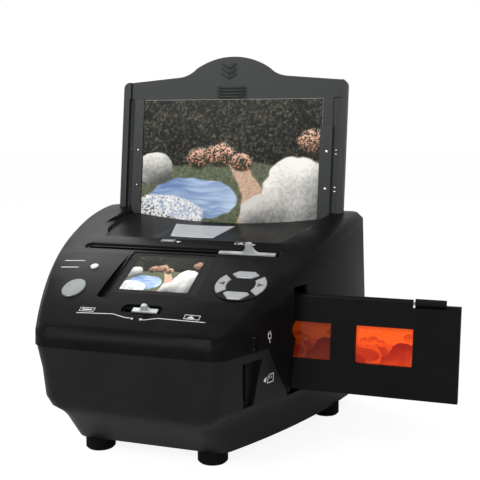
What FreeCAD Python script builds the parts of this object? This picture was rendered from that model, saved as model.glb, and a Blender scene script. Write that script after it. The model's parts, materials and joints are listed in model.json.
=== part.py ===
# Film negative scanner: a desktop box that scans slides in a side-loaded holder
# and paper prints in a tray that stands in its top.
#
# Frame: X to the right, Y to the rear, Z up, millimetres and degrees. The origin is
# on the table, on the plane of symmetry, midway between the front and the rear feet.
# The film holder and the photo tray both lean back by the same angle, and each has
# a frame of its own: x along X, y through the thickness to the rear, z up the lean.

import FreeCAD, Part
import math
import os
import re

import Sketcher

doc = FreeCAD.newDocument("film_scanner")

SIZES = [
    # Casing: one moulded form that a seam divides into a cover and a base.
    ("case_front", 103, "origin to front wall at the seam"),
    ("case_rear", 103.5, "origin to rear wall at the seam"),
    ("front_half", 62, "half width of the front wall at the seam"),
    ("rear_margin", 18.5, "rear wall at the seam beside the tray"),
    ("side_bulge", 12, "how far a side wall bows out from its chord"),
    ("plan_corner", 12, "plan radius of the corners"),
    ("wall", 2.5, "wall of both shells"),
    ("side_draft", 3.3, "how far each side leans in from the seam to the crown"),
    ("draft_height", 80, "level above the seam where the draft is measured"),
    ("seam_height", 80, "seam along the front, above the table"),
    ("seam_low", 41, "seam along the rear"),
    ("seam_break", 61.6, "front end of the sloping seam, ahead of the origin"),
    ("seam_drop", 33.6, "rear end of the sloping seam, ahead of the origin"),
    ("rim_bevel", 4.2, "bevel round the edge of the panel"),
    ("seam_step", 0.9, "how far the base stands in behind the cover's lip"),
    ("panel_rise_front", 10, "panel arc at the front wall above the seam"),
    ("panel_rise_middle", 54.2, "panel arc at the origin above the seam"),
    ("panel_rise_rear", 71.6, "panel arc at the rear wall above the seam"),
    ("foot_height", 9, "underside of the casing above the table"),
    ("front_tuck", 35.4, "how far the chin runs back under the front wall"),
    ("side_tuck", 13.5, "how far the sides turn in above the sole at the front"),
    ("rear_tuck", 5, "how far the sides turn in at the sole at the rear"),
    ("back_tuck", 3.5, "how far the rear wall turns in at the sole"),
    ("overrun", 6, "how far a cutting shape runs past what it cuts"),
    ("gap", 0.3, "clearance round a piece that lies in a recess"),
    ("slip", 0.35, "clearance on each side of a sliding piece"),
    # Feet and screws.
    ("foot_radius", 10, "rubber foot"),
    ("foot_edge", 1.2, "bevel of the rubber foot"),
    ("foot_stub", 2.4, "radius of the stub that plugs into the base"),
    ("front_foot_x", 40.8, "front feet either side of the middle"),
    ("rear_foot_inset", 23, "rear feet in from the end of the rear wall"),
    ("foot_y", 57.4, "feet ahead of and behind the origin"),
    ("front_post_x", 62, "front screw posts either side of the middle"),
    ("front_post_y", 10, "front screw posts behind the origin"),
    ("rear_post_inset", 15, "rear screw posts in from the edge of the tray"),
    ("rear_post_y", 55, "rear screw posts behind the origin"),
    ("post_radius", 4.5, "screw post"),
    ("post_joint", 38, "height where the posts of base and cover meet"),
    ("screw_radius", 1.5, "shank of a casing screw"),
    ("screw_head", 2.9, "radius of the screw head"),
    ("screw_head_depth", 2.4, "height of the screw head"),
    ("screw_sink", 12, "height of the screw head's seat above the table"),
    ("screw_length", 36, "shank of a casing screw"),
    # Photo tray, in its own leaning frame; heights count from its datum.
    ("lean", 7.3, "how far tray and holder lean back, degrees"),
    ("tray_y", 86.4, "front face of the tray at its datum"),
    ("tray_rise", 70, "tray datum above the seam"),
    ("tray_border", 6.1, "border of the tray beside its pocket"),
    ("tray_thick", 7, "thickness of the tray"),
    ("tray_bottom", 31.6, "lower edge below the datum"),
    ("tray_corner", 104.6, "upper corners above the datum"),
    ("tray_corner_radius", 5, "upper corners"),
    ("tray_shoulder", 108.4, "where the hump starts, above the datum"),
    ("tray_shoulder_x", 46, "where the hump starts, from the middle"),
    ("tray_neck", 115.4, "where the hump turns over, above the datum"),
    ("tray_neck_x", 31, "where the hump turns over, from the middle"),
    ("tray_neck_radius", 24, "hollow arc at the foot of the hump"),
    ("tray_crown", 124.6, "top of the hump above the datum"),
    ("pocket_margin", 4.2, "pocket outside a print guide: 7 inches in all"),
    ("photo_pocket_high", 127, "a 5 inch print"),
    ("photo_pocket_top", 102.4, "top of a 5 inch print above the datum"),
    ("pocket_jog", 2, "how much wider the pocket is above its jog"),
    ("pocket_jog_low", 79, "lower end of the jog above the datum"),
    ("pocket_jog_high", 84, "upper end of the jog above the datum"),
    ("slit_inset", 2.1, "slits in from the left edge of the pocket"),
    ("slit_wide", 1.8, "slit in the pocket's floor"),
    ("slit_top", 89, "upper end of the slit above the datum"),
    ("slit_bridge", 2, "bridges across the slit"),
    ("bridge_high", 48.6, "upper bridge above the datum"),
    ("bridge_low", 14.5, "lower bridge above the datum"),
    ("slit_relief", 6, "width of the relief behind the slits"),
    ("slit_web", 1, "thickness left at the slits"),
    ("peg_slot_inset", 1.7, "short slots in from the right edge of the pocket"),
    ("peg_slot_wide", 2.2, "short slots"),
    ("peg_slot_high", 0.9, "short slots"),
    ("peg_slot_apart", 3.2, "distance between the two short slots of a pair"),
    ("photo_pocket_deep", 2.2, "depth of the pocket"),
    ("photo_half", 76.2, "half of a 6 inch print"),
    ("photo_high", 101.6, "a 4 inch print"),
    ("photo_top", 90, "top of the print above the datum"),
    ("photo_thick", 0.3, "thickness of the print"),
    ("guide_wide", 8.5, "a print guide, from the print outwards"),
    ("guide_lip", 1.2, "how far a print guide covers the print"),
    ("guide_top", 69.3, "top of the right print guide above the datum"),
    ("fixed_guide_top", 90, "top of the left print guide above the datum"),
    ("guide_lip_thick", 0.9, "lip of a print guide"),
    ("guide_hole", 1.3, "radius of the locating holes in a print guide"),
    ("guide_hole_high", 48.4, "upper locating hole above the datum"),
    ("guide_hole_low", 19.2, "lower locating hole above the datum"),
    ("tray_rail_deep", 4, "how far a tray rail reaches over the tray"),
    ("tray_rail_wall", 2, "wall of a tray rail"),
    ("tray_rail_top", 8, "top of the tray rails below the datum"),
    # Film holder, in its own leaning frame.
    ("holder_y", 29.8, "front face of the holder ahead of the origin at its datum"),
    ("holder_left", 3, "left end of the holder"),
    ("holder_right", 193, "right end of the holder"),
    ("holder_low", 33.8, "lower edge below the datum"),
    ("holder_high", 26.4, "upper edge of the end strip above the datum"),
    ("leaf_thick", 3, "thickness of each half of the holder"),
    ("leaf_high", 23.9, "upper edge of the lid above the datum"),
    ("hinge_right", 163.5, "right end of the hinge"),
    ("hinge_radius", 2.4, "radius of the hinge knuckles"),
    ("hinge_split", 38, "where the base's inner knuckle meets the lid's long one"),
    ("pin_end", 6, "how far the hinge pin reaches into the finger tab"),
    ("hinge_axis", 26.8, "hinge pin above the datum"),
    ("pin_radius", 0.8, "radius of the hinge pin"),
    ("pin_fit", 0.05, "clearance round the hinge pin"),
    ("knuckle_gap", 0.3, "clearance between two knuckles"),
    ("tab_left", 164.7, "left end of the finger tab"),
    ("tab_right", 183.9, "right end of the finger tab"),
    ("tab_high", 29.6, "top of the finger tab above the datum"),
    ("slide_first", 41, "middle of the first slide"),
    ("slide_pitch", 52.5, "distance from one slide to the next"),
    ("slide_middle", 1.6, "middle of the slides below the datum"),
    ("slide_mount", 50, "side of a slide mount"),
    ("slide_thick", 1.5, "thickness of a slide mount"),
    ("window_wide", 36.8, "window of the holder"),
    ("window_high", 24.4, "window of the holder"),
    ("frame_wide", 36, "picture on the film"),
    ("frame_high", 24, "picture on the film"),
    ("film_margin", 1.2, "how far the film runs past the picture"),
    ("film_thick", 0.2, "thickness of the film"),
    ("slot_drop", 39.5, "side slots below the holder datum"),
    ("slot_rise", 34, "side slots above the holder datum"),
    ("slot_front", 34.9, "front edge of the side slots ahead of the origin"),
    ("slot_rear", 19.3, "rear edge of the side slots ahead of the origin"),
    ("film_rail_half", 80, "half length of the film rails"),
    ("film_rail_grip", 3, "how far a film rail reaches over the holder"),
    ("film_rail_wall", 1.8, "wall of a film rail"),
    ("rail_stay_x", 55, "stays of the film rails either side of the middle"),
    ("rail_stay", 6, "width of a stay"),
    # Display.
    ("display_x", 1.65, "middle of the display, left of the plane of symmetry"),
    ("display_y", 41.5, "middle of the display ahead of the origin"),
    ("display_rise", 37.6, "middle of the display's flat above the seam"),
    ("display_slope", 26, "slope of the display's flat, degrees"),
    ("flat_half", 33.5, "half width of the flat round the display"),
    ("flat_front", 31, "flat ahead of the display's middle"),
    ("flat_rear", 30, "flat behind the display's middle"),
    ("flat_corner", 3, "corners of the flat"),
    ("glass_wide", 62, "display window"),
    ("glass_high", 47, "display window"),
    ("glass_lift", 3.6, "middle of the window behind the display's middle"),
    ("glass_thick", 1.2, "display window"),
    ("active_wide", 48.96, "picture on the display"),
    ("active_high", 36.72, "picture on the display"),
    ("active_lift", 1.4, "middle of the picture behind the display's middle"),
    ("module_half", 28, "half width of the display module"),
    ("module_front", 20, "display module ahead of the display's middle"),
    ("module_rear", 23, "display module behind the display's middle"),
    # Control board under the panel, in the display's frame.
    ("board_thick", 1.6, "every circuit board"),
    ("board_depth", 8.0, "top of the control board below the flat"),
    ("board_front_half", 64, "front edge of the control board"),
    ("board_rear_half", 81.2, "rear edge of the control board"),
    ("board_front", 33, "control board ahead of the display's middle"),
    ("board_rear", 6.5, "control board behind the display's middle"),
    ("boss_radius", 2.6, "bosses that carry the boards"),
    ("boss_front_x", 37, "front bosses of the control board"),
    ("boss_front_y", 29, "front bosses ahead of the display's middle"),
    ("boss_rear_x", 79.4, "rear bosses of the control board"),
    ("boss_rear_y", 2.6, "rear bosses behind the display's middle"),
    # Buttons and lamp on the panel.
    ("scan_x", 54.8, "scan button left of the plane of symmetry"),
    ("scan_y", 64, "scan button ahead of the origin"),
    ("scan_half_wide", 7.9, "scan button across"),
    ("scan_half_long", 9.9, "scan button along the slope"),
    ("lamp_x", 52.5, "indicator left of the plane of symmetry"),
    ("lamp_y", 38.9, "indicator ahead of the origin"),
    ("lamp_radius", 3, "indicator lens"),
    ("pad_x", 57.8, "middle of the four keys"),
    ("pad_y", 50.6, "middle of the four keys ahead of the origin"),
    ("pad_radius", 17.8, "disc round the four keys"),
    ("key_radius", 16.9, "outer arc of the keys"),
    ("key_inner", 8.1, "inner edge of the keys from the middle"),
    ("key_hollow", 1.4, "curve of the side keys' inner edges"),
    ("key_split", 2.3, "half the bar between two keys, across both"),
    ("key_rise", 0.9, "how far buttons stand above the panel"),
    ("key_travel", 0.8, "travel of every button"),
    ("key_flange", 1, "flange that keeps a button in"),
    ("key_stem", 1.6, "radius of a button's stem"),
    ("switch_side", 6, "tact switch body"),
    ("switch_high", 2.4, "tact switch body"),
    ("plunger_radius", 1.6, "tact switch plunger"),
    ("plunger_high", 0.8, "tact switch plunger"),
    # Focus slider ahead of the display.
    ("focus_x", 1.7, "middle of the focus slot"),
    ("focus_y", 79.6, "focus slot ahead of the origin"),
    ("focus_half", 14, "half length of the focus slot"),
    ("focus_wide", 9.3, "width of the focus slot"),
    ("focus_rest", 3.9, "knob at rest"),
    ("focus_travel", 6, "travel of the focus knob to the left"),
    ("recess_deep", 1.4, "depth of both slots before they narrow"),
    ("slot_bevel", 1.8, "bevel round the mouth of both slots"),
    ("neck_wide", 3.4, "narrow part of both slots"),
    ("neck_ends", 1.5, "how far a slot outruns its narrow part at each end"),
    ("strip_thick", 1, "strip of a slider that lies in its slot"),
    ("strip_wide", 3.6, "width of that strip"),
    ("focus_strip", 8.5, "half length of the focus knob's strip"),
    ("tab_thick", 2.6, "thickness of the finger tabs"),
    ("focus_tab_half", 1.9, "half width of the focus tab at its tip"),
    ("focus_tab_root", 4.6, "half width of the focus tab at its root"),
    ("focus_tab_high", 3.4, "height of the focus tab"),
    # Backlight slider behind the display.
    ("light_y", 9.8, "light slot ahead of the origin"),
    ("light_left", 74, "left end of the light slot"),
    ("light_right", 72.3, "right end of the light slot"),
    ("light_wide", 7.6, "width of the light slot"),
    ("light_rest", 50.5, "lever at rest, beside the mark for prints"),
    ("light_travel", 57.5, "travel of the lever to the mark for film"),
    ("light_strip_left", 22, "strip of the lever left of its tab"),
    ("light_strip_right", 18.5, "strip of the lever right of its tab"),
    ("light_tab_root", 7.4, "half width of the lever's tab at its root"),
    ("light_tab_tip", 2.3, "half width of the lever's tab at its tip"),
    ("light_tab_high", 6.8, "height of the lever's tab"),
    ("light_drop", 1, "middle of the backlight below the holder datum"),
    ("light_half", 23, "half width of the backlight's carriage"),
    ("light_high", 22, "half height of the backlight's carriage"),
    ("carriage_thick", 7, "thickness of the backlight's carriage"),
    ("carriage_front", 14, "front of the carriage ahead of the origin"),
    ("diffuser_wide", 42, "diffuser"),
    ("diffuser_high", 30, "diffuser"),
    ("diffuser_thick", 2, "diffuser"),
    ("carriage_lip", 1.5, "lip that holds the diffuser"),
    ("rod_radius", 2, "guide rod of the carriage"),
    ("rod_fit", 0.1, "clearance round the guide rod"),
    ("rod_drop", 30, "guide rod below the holder datum"),
    ("rod_left", 30, "left end of the guide rod"),
    ("rod_right", 86, "right end of the guide rod"),
    ("rod_post", 4, "thickness of the posts that hold the rod"),
    ("lug_x", 14, "lugs either side of the carriage's middle"),
    ("lug_thick", 5, "thickness of a lug"),
    # Camera inside the base.
    ("axis_drop", 3, "optical axis below the holder datum"),
    ("sensor_y", 92, "rear face of the sensor board ahead of the origin"),
    ("sensor_half", 22, "half width of the sensor board"),
    ("sensor_high", 14, "half height of the sensor board"),
    ("sensor_chip", 7, "half width of the image sensor"),
    ("sensor_chip_thick", 1.2, "image sensor"),
    ("barrel_radius", 7, "lens barrel"),
    ("barrel_long", 7.5, "lens barrel"),
    ("barrel_wall", 1.2, "lens barrel"),
    ("lens_thick", 2.4, "lens"),
    ("hood_front", 74, "front end of the light hood ahead of the origin"),
    ("hood_rear", 40, "rear end of the light hood ahead of the origin"),
    ("hood_front_half", 12, "light hood at its front"),
    ("hood_front_high", 9, "light hood at its front"),
    ("hood_rear_half", 27, "light hood at its rear"),
    ("hood_rear_high", 20, "light hood at its rear"),
    ("hood_wall", 1.6, "light hood"),
    ("hood_plate", 2, "plate at the front of the light hood"),
    ("pillar_radius", 2.2, "pillars that carry the sensor board"),
    ("pillar_x", 19, "pillars either side of the axis"),
    ("pillar_high", 11, "pillars above and below the axis"),
    ("leg_side", 7, "legs of the light hood"),
    ("leg_x", 16, "legs either side of the axis"),
    ("blade_half", 11, "half width of the close-up lens blade"),
    ("blade_thick", 2.2, "close-up lens blade"),
    ("blade_low", 6, "blade below the axis"),
    ("closeup_radius", 2.6, "close-up lens"),
    # Print lights on the rear posts.
    ("strip_light_wide", 12, "board of a print light"),
    ("strip_light_drop", 33, "lower end of a print light below the axis"),
    ("strip_light_rise", 47, "upper end of a print light above the axis"),
    ("led_side", 3.5, "lamp on a print light"),
    ("led_thick", 1.2, "lamp on a print light"),
    # Sockets on the right wall.
    ("socket_y", 75, "sockets ahead of the origin"),
    ("recess_drop", 6, "card recess below the seam"),
    ("recess_high", 30, "height of the card recess"),
    ("recess_top_wide", 19, "card recess at its top"),
    ("recess_bottom_wide", 9, "card recess at its bottom"),
    ("recess_depth", 9, "card recess from the seam's outline"),
    ("card_wide", 2.6, "card slot"),
    ("card_high", 24.6, "card slot"),
    ("card_drop", 15.5, "middle of the card slot below the top of its recess"),
    ("card_socket_deep", 18, "card socket"),
    ("card_socket_thick", 5, "card socket"),
    ("usb_rise", 5.6, "middle of the USB socket above the seam"),
    ("usb_wide", 2.6, "USB socket"),
    ("usb_high", 7.6, "USB socket"),
    ("main_board_wide", 34, "main board"),
    ("board_margin", 2, "main board below the card recess"),
    ("board_over_usb", 7.4, "main board above the USB socket"),
    # Dish in the top ahead of the photo tray.
    ("dish_front", 8, "front edge of the dish behind the origin"),
    ("dish_flare", 14, "how much the dish narrows on each side to its front"),
    ("dish_inset", 13, "dish in from the edge of the tray"),
    ("dish_deep", 4.8, "depth of the dish at the tray"),
    ("dish_corner", 12, "front corners of the dish"),
    ("dish_step", 0.9, "depth of the dish at its front edge"),
    ("bowl_deep", 4.6, "how much deeper the dish is in its middle, at the tray"),
    ("bowl_inset", 12, "hollow in from the side of the dish, at the tray"),
    ("scoop_radius", 9, "finger scoop beside the right slot"),
    ("scoop_deep", 2, "depth of the finger scoop"),
    ("scoop_height", 86, "middle of the finger scoop above the table"),
    # Sizes that follow from others: widths from the print, heights from the seam.
    ("guide_half", "=photo_half + guide_wide", "outer edge of a print guide from the middle"),
    ("photo_pocket_half", "=guide_half + pocket_margin", "half of a 7 inch print"),
    ("tray_half", "=photo_pocket_half + tray_border", "half width of the tray"),
    ("slit_x", "=photo_pocket_half - slit_inset", "slit in the pocket's floor left of the middle"),
    ("peg_slot_x", "=photo_pocket_half - peg_slot_inset", "short slots right of the middle"),
    ("rear_half", "=tray_half + rear_margin", "half width of the rear wall at the seam"),
    ("rear_foot_x", "=rear_half - rear_foot_inset", "rear feet either side of the middle"),
    ("rear_post_x", "=tray_half - rear_post_inset", "rear screw posts either side of the middle"),
    ("dish_rear_half", "=tray_half - dish_inset", "half width of the dish at the tray"),
    ("dish_front_half", "=dish_rear_half - dish_flare", "half width of the dish at its front"),
    ("bowl_half", "=dish_rear_half - bowl_inset", "half width of that hollow at the tray"),
    ("panel_low", "=seam_height + panel_rise_front", "height of the panel arc at the front wall"),
    ("panel_middle", "=seam_height + panel_rise_middle", "height of the panel arc above the origin"),
    ("panel_high", "=seam_height + panel_rise_rear", "height of the panel arc at the rear wall"),
    ("crown_height", "=seam_height + draft_height", "height at which the draft is measured"),
    ("tray_datum", "=seam_height + tray_rise", "height of the tray's datum above the table"),
    ("holder_datum", "=seam_height", "height of the holder's datum above the table"),
    ("display_height", "=seam_height + display_rise", "middle of the display's flat above the table"),
    ("slot_low", "=holder_datum - slot_drop", "lower end of the side slots above the table"),
    ("slot_high", "=holder_datum + slot_rise", "upper end of the side slots above the table"),
    ("light_middle", "=holder_datum - light_drop", "middle of the backlight above the table"),
    ("rod_height", "=holder_datum - rod_drop", "guide rod above the table"),
    ("axis_height", "=holder_datum - axis_drop", "optical axis above the table"),
    ("strip_light_low", "=axis_height - strip_light_drop", "lower end of a print light"),
    ("strip_light_high", "=axis_height + strip_light_rise", "upper end of a print light"),
    ("recess_top", "=seam_height - recess_drop", "top of the card recess"),
    ("recess_bottom", "=recess_top - recess_high", "bottom of the card recess"),
    ("card_middle", "=recess_top - card_drop", "middle of the card slot above the table"),
    ("usb_height", "=seam_height + usb_rise", "middle of the USB socket above the table"),
    ("main_board_low", "=recess_bottom - board_margin", "lower edge of the main board above the table"),
    ("main_board_high", "=usb_height + board_over_usb", "upper edge of the main board above the table"),
]

sheet = doc.addObject("Spreadsheet::Sheet", "sizes")
NAMES = set()
for row, (name, value, note) in enumerate(SIZES, start=1):
    sheet.set("A%d" % row, name)
    sheet.set("B%d" % row, str(value))
    sheet.set("C%d" % row, note)
    sheet.setAlias("B%d" % row, name)
    NAMES.add(name)
doc.recompute()


class Sizes:
    """Reads a size from the sheet by its name."""

    def __getattr__(self, name):
        return float(sheet.get(name))


S = Sizes()
SIDES = (("left", -1), ("right", 1))


def bound(text):
    """Turn the names in a sum into references to the sheet's cells."""
    return re.sub(r"[a-z_]+", lambda m: "sizes." + m[0] if m[0] in NAMES else m[0], text)


def value(text):
    """The number that such a sum gives now."""
    return float(sheet.evalExpression(bound(text)))


def vec(x, y, z=0.0):
    return FreeCAD.Vector(x, y, z)


def tilt(x, y, z, degrees):
    """A frame at a point, turned about X by an angle."""
    return FreeCAD.Placement(vec(x, y, z), FreeCAD.Rotation(vec(1, 0, 0), degrees))


def brick(x0, y0, z0, x1, y1, z1):
    """A plain block between two corners."""
    return Part.makeBox(x1 - x0, y1 - y0, z1 - z0, vec(x0, y0, z0))


def placed(shape, frame):
    """A copy of a shape, moved from a frame's own axes to its place."""
    moved = shape.copy()
    moved.Placement = frame.multiply(moved.Placement)
    return moved


def square_post(half, x, y, low, high):
    """An upright square post round a place."""
    return brick(x - half, y - half, low, x + half, y + half, high)


def eight_sided(radius, x, y, low, high):
    """An upright eight-sided post whose flats lie on a circle."""
    reach = radius / math.cos(math.pi / 8)
    turns = [math.pi * (i + 0.5) / 4 for i in range(8)]
    points = [vec(x + reach * math.cos(a), y + reach * math.sin(a), low) for a in turns]
    return Part.Face(Part.makePolygon(points + [points[0]])).extrude(vec(0, 0, high - low))


def prism(points, depth):
    """A prism from a closed line of points, along a vector."""
    return Part.Face(Part.makePolygon(points + [points[0]])).extrude(depth)


def feature(label, shape, frame=None):
    """A sub-part whose shape is worked out by functions."""
    part = doc.addObject("Part::Feature", label)
    part.Shape = shape
    if frame is not None:
        part.Placement = frame.multiply(shape.Placement)
    return part


def block(label, x, y, z, length, width, height):
    """A box whose place and sizes are sums on the sheet."""
    part = doc.addObject("Part::Box", label)
    bindings = {
        "Length": length,
        "Width": width,
        "Height": height,
        "Placement.Base.x": x,
        "Placement.Base.y": y,
        "Placement.Base.z": z,
    }
    for name, text in bindings.items():
        part.setExpression(name, bound(text))
    return part


class Piece:
    """A body: sketches on its own origin planes, padded, pocketed or revolved."""

    def __init__(self, label, frame=None):
        self.label = label
        self.body = doc.addObject("PartDesign::Body", label)
        if frame is not None:
            self.body.Placement = frame
        self.count = 0

    def sketch(self, role, lift="0"):
        self.count += 1
        sketch = self.body.newObject("Sketcher::SketchObject", "%s_sketch_%d" % (self.label, self.count))
        plane = next(o for o in self.body.Origin.OriginFeatures if o.Role == role)
        sketch.AttachmentSupport = [(plane, "")]
        sketch.MapMode = "FlatFace"
        sketch.setExpression("AttachmentOffset.Base.z", bound(lift))
        return sketch

    def add(self, kind, sketch, length, back=False):
        """Pad or pocket a sketch; back turns it against the usual direction."""
        step = self.body.newObject("PartDesign::" + kind, "%s_%s_%d" % (self.label, kind.lower(), self.count))
        step.Profile = sketch
        step.setExpression("Length", bound(length))
        step.Reversed = back
        sketch.Visibility = False
        return step

    def revolve(self, sketch):
        """Turn a sketch about its own vertical axis."""
        step = self.body.newObject("PartDesign::Revolution", self.label + "_revolution")
        step.Profile = sketch
        step.ReferenceAxis = (sketch, ["V_Axis"])
        step.Angle = 360
        return step

    def round(self, radius, wanted):
        """Fillet the edges of the last feature that a test picks."""
        doc.recompute()
        base = self.body.Tip
        picks = ["Edge%d" % (i + 1) for i, edge in enumerate(base.Shape.Edges) if wanted(edge)]
        step = self.body.newObject("PartDesign::Fillet", "%s_fillet_%d" % (self.label, self.count))
        step.Base = (base, picks)
        step.setExpression("Radius", bound(radius))
        return step


def pin(sketch, geometry, point, x, y):
    """Hold a point of a sketch at a place that the sheet gives."""
    for kind, text in (("DistanceX", x), ("DistanceY", y)):
        index = sketch.addConstraint(Sketcher.Constraint(kind, -1, 1, geometry, point, value(text)))
        sketch.setExpression("Constraints[%d]" % index, bound(text))


def loop(sketch, corners):
    """A closed outline. A corner is (x, y), or (x, y, radius, turn) where an arc of
    that radius leads on to the next corner; turn is 1 to the left, -1 to the right."""
    places = [vec(value(c[0]), value(c[1])) for c in corners]
    edges = []
    for i, corner in enumerate(corners):
        start, end = places[i], places[(i + 1) % len(corners)]
        if len(corner) == 2:
            edge = sketch.addGeometry(Part.LineSegment(start, end))
            edges.append((edge, 1, 2))
            continue
        radius, chord = value(corner[2]), end - start
        rise = radius - math.sqrt(radius ** 2 - chord.Length ** 2 / 4)
        outward = vec(chord.y, -chord.x).normalize() * rise * corner[3]
        edge = sketch.addGeometry(Part.Arc(start, (start + end) * 0.5 + outward, end))
        index = sketch.addConstraint(Sketcher.Constraint("Radius", edge, radius))
        sketch.setExpression("Constraints[%d]" % index, bound(corner[2]))
        edges.append((edge, 1, 2) if corner[3] > 0 else (edge, 2, 1))
    for i, (edge, _, last) in enumerate(edges):
        following, first, _ = edges[(i + 1) % len(edges)]
        sketch.addConstraint(Sketcher.Constraint("Coincident", edge, last, following, first))
        pin(sketch, edge, edges[i][1], corners[i][0], corners[i][1])


def rectangle(sketch, x0, y0, x1, y1):
    loop(sketch, [(x0, y0), (x1, y0), (x1, y1), (x0, y1)])


def circle(sketch, x, y, radius):
    ring = sketch.addGeometry(Part.Circle(vec(value(x), value(y)), vec(0, 0, 1), value(radius)))
    index = sketch.addConstraint(Sketcher.Constraint("Radius", ring, value(radius)))
    sketch.setExpression("Constraints[%d]" % index, bound(radius))
    pin(sketch, ring, 3, x, y)


# The casing's form: plan outlines stacked from the sole to the crown.
# Each row gives a height as a share of the seam's height above the sole, and the
# shares of the four tucks and of the side bulge that hold at that height.
SECTION_SHARES = [
    # height, front, side, rear, back, bulge
    (1.00, 0.00, 0.00, 0.00, 0.00, 1.00),
    (0.78, 0.03, 0.24, 0.00, 0.00, 1.00),
    (0.52, 0.08, 0.32, 0.02, 0.01, 1.00),
    (0.43, 0.14, 0.52, 0.08, 0.06, 0.98),
    (0.37, 0.24, 0.92, 0.21, 0.16, 0.94),
    (0.31, 0.36, 1.00, 0.33, 0.26, 0.89),
    (0.16, 0.68, 0.85, 0.63, 0.50, 0.76),
    (0.00, 1.00, 0.74, 1.00, 1.00, 0.62),
]


def outline(front_half, rear_half, front, rear, bulge, height, inset):
    """One plan outline: straight ends, bowed sides, rounded corners."""
    corners = [vec(front_half, -front, height), vec(rear_half, rear, height)]
    along = (corners[1] - corners[0]).normalize()
    bow = (corners[0] + corners[1]) * 0.5 + vec(along.y, -along.x) * bulge
    mirrored = [vec(-p.x, p.y, p.z) for p in (corners[1], bow, corners[0])]
    edges = [
        Part.LineSegment(mirrored[2], corners[0]),
        Part.Arc(corners[0], bow, corners[1]),
        Part.LineSegment(corners[1], mirrored[0]),
        Part.Arc(*mirrored),
    ]
    sharp = Part.Wire([edge.toShape() for edge in edges])
    radius = S.plan_corner - inset
    rounded = sharp.makeOffset2D(-inset - radius).makeOffset2D(radius)
    if inset < S.wall:
        return rounded
    # Inside the wall the corners are cut straight across.
    edges = []
    for edge in Part.__sortEdges__(rounded.Edges):
        first, last = edge.Vertexes[0].Point, edge.Vertexes[-1].Point
        corner = abs(edge.Length - radius * math.pi / 2) < radius
        edges.append(Part.LineSegment(first, last).toShape() if corner else edge)
    return Part.Wire(edges)


def panel_circle():
    """Centre (y, z) and radius of the arc that the panel's section follows."""
    points = [(-S.case_front, S.panel_low), (0.0, S.panel_middle), (S.case_rear, S.panel_high)]
    circle_through = Part.Circle(*[vec(0, y, z) for y, z in points])
    return circle_through.Center.y, circle_through.Center.z, circle_through.Radius


PANEL_Y, PANEL_Z, PANEL_RADIUS = panel_circle()


def panel_height(y):
    return PANEL_Z + math.sqrt(PANEL_RADIUS ** 2 - (y - PANEL_Y) ** 2)


def panel_frame(x, y):
    """A frame on the panel, its z along the outward normal, its y up the slope."""
    height = panel_height(y)
    slope = math.degrees(math.atan2(PANEL_Y - y, height - PANEL_Z))
    return tilt(x, y, height, slope)


def under_panel(inset):
    """Everything below the panel, lowered by an inset."""
    half = S.rear_half + S.overrun
    front, rear = -S.case_front - S.overrun, S.case_rear + S.overrun
    radius = PANEL_RADIUS - inset

    def top(y):
        return vec(-half, y, PANEL_Z + math.sqrt(radius ** 2 - (y - PANEL_Y) ** 2))

    ends = [top(front), top(rear)]
    wire = Part.Wire([
        Part.Arc(ends[0], top(0.0), ends[1]).toShape(),
        Part.LineSegment(ends[1], vec(-half, rear, 0)).toShape(),
        Part.LineSegment(vec(-half, rear, 0), vec(-half, front, 0)).toShape(),
        Part.LineSegment(vec(-half, front, 0), ends[0]).toShape(),
    ])
    return Part.Face(wire).extrude(vec(2 * half, 0, 0))


def casing_form(inset, lift):
    """The whole casing as a solid, drawn in by an inset, its sole raised by a lift."""
    sections = []
    for height, front, side, rear, back, bulge in SECTION_SHARES:
        level = S.foot_height + height * (S.seam_height - S.foot_height)
        if height == 0:
            level += lift
        sections.append(outline(
            S.front_half - side * S.side_tuck, S.rear_half - rear * S.rear_tuck,
            S.case_front - front * S.front_tuck, S.case_rear - back * S.back_tuck,
            bulge * S.side_bulge, level, inset))
    lower = Part.makeLoft(sections, True, True)
    crown = outline(S.front_half - S.side_draft, S.rear_half - S.side_draft,
                    S.case_front, S.case_rear, S.side_bulge, S.crown_height, inset)
    upper = Part.makeLoft([sections[0], crown], True, True).common(under_panel(inset))
    rim = [e for e in upper.Edges if on_panel_rim(e, inset)]
    if inset:
        upper = upper.makeChamfer(inset, rim)
    else:
        upper = upper.makeChamfer(S.rim_bevel, rim)
    return upper.fuse(lower)


def on_panel_rim(edge, inset):
    """True for an edge between the panel and a wall."""
    middle = edge.valueAt((edge.FirstParameter + edge.LastParameter) / 2)
    reach = math.hypot(middle.y - PANEL_Y, middle.z - PANEL_Z)
    return abs(reach - PANEL_RADIUS + inset) < S.gap


def below_seam():
    """Everything under the seam."""
    far = S.rear_half + 2 * S.overrun
    line = [
        (-far, 0), (-far, S.seam_height), (-S.seam_break, S.seam_height),
        (-S.seam_drop, S.seam_low), (far, S.seam_low), (far, 0),
    ]
    return prism([vec(-far, y, z) for y, z in line], vec(2 * far, 0, 0))


def side_wall_frame(y, height):
    """A frame on the right wall: x out of the wall, y along it to the rear."""
    start, end = vec(S.front_half, -S.case_front), vec(S.rear_half, S.case_rear)
    along = (end - start).normalize()
    bow = (start + end) * 0.5 + vec(along.y, -along.x) * S.side_bulge
    arc = Part.Circle(start, bow, end)
    reach = math.sqrt(arc.Radius ** 2 - (y - arc.Center.y) ** 2)
    turn = math.degrees(math.atan2(y - arc.Center.y, reach))
    spot = vec(arc.Center.x + reach, y, height)
    return FreeCAD.Placement(spot, FreeCAD.Rotation(vec(0, 0, 1), turn))


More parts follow.
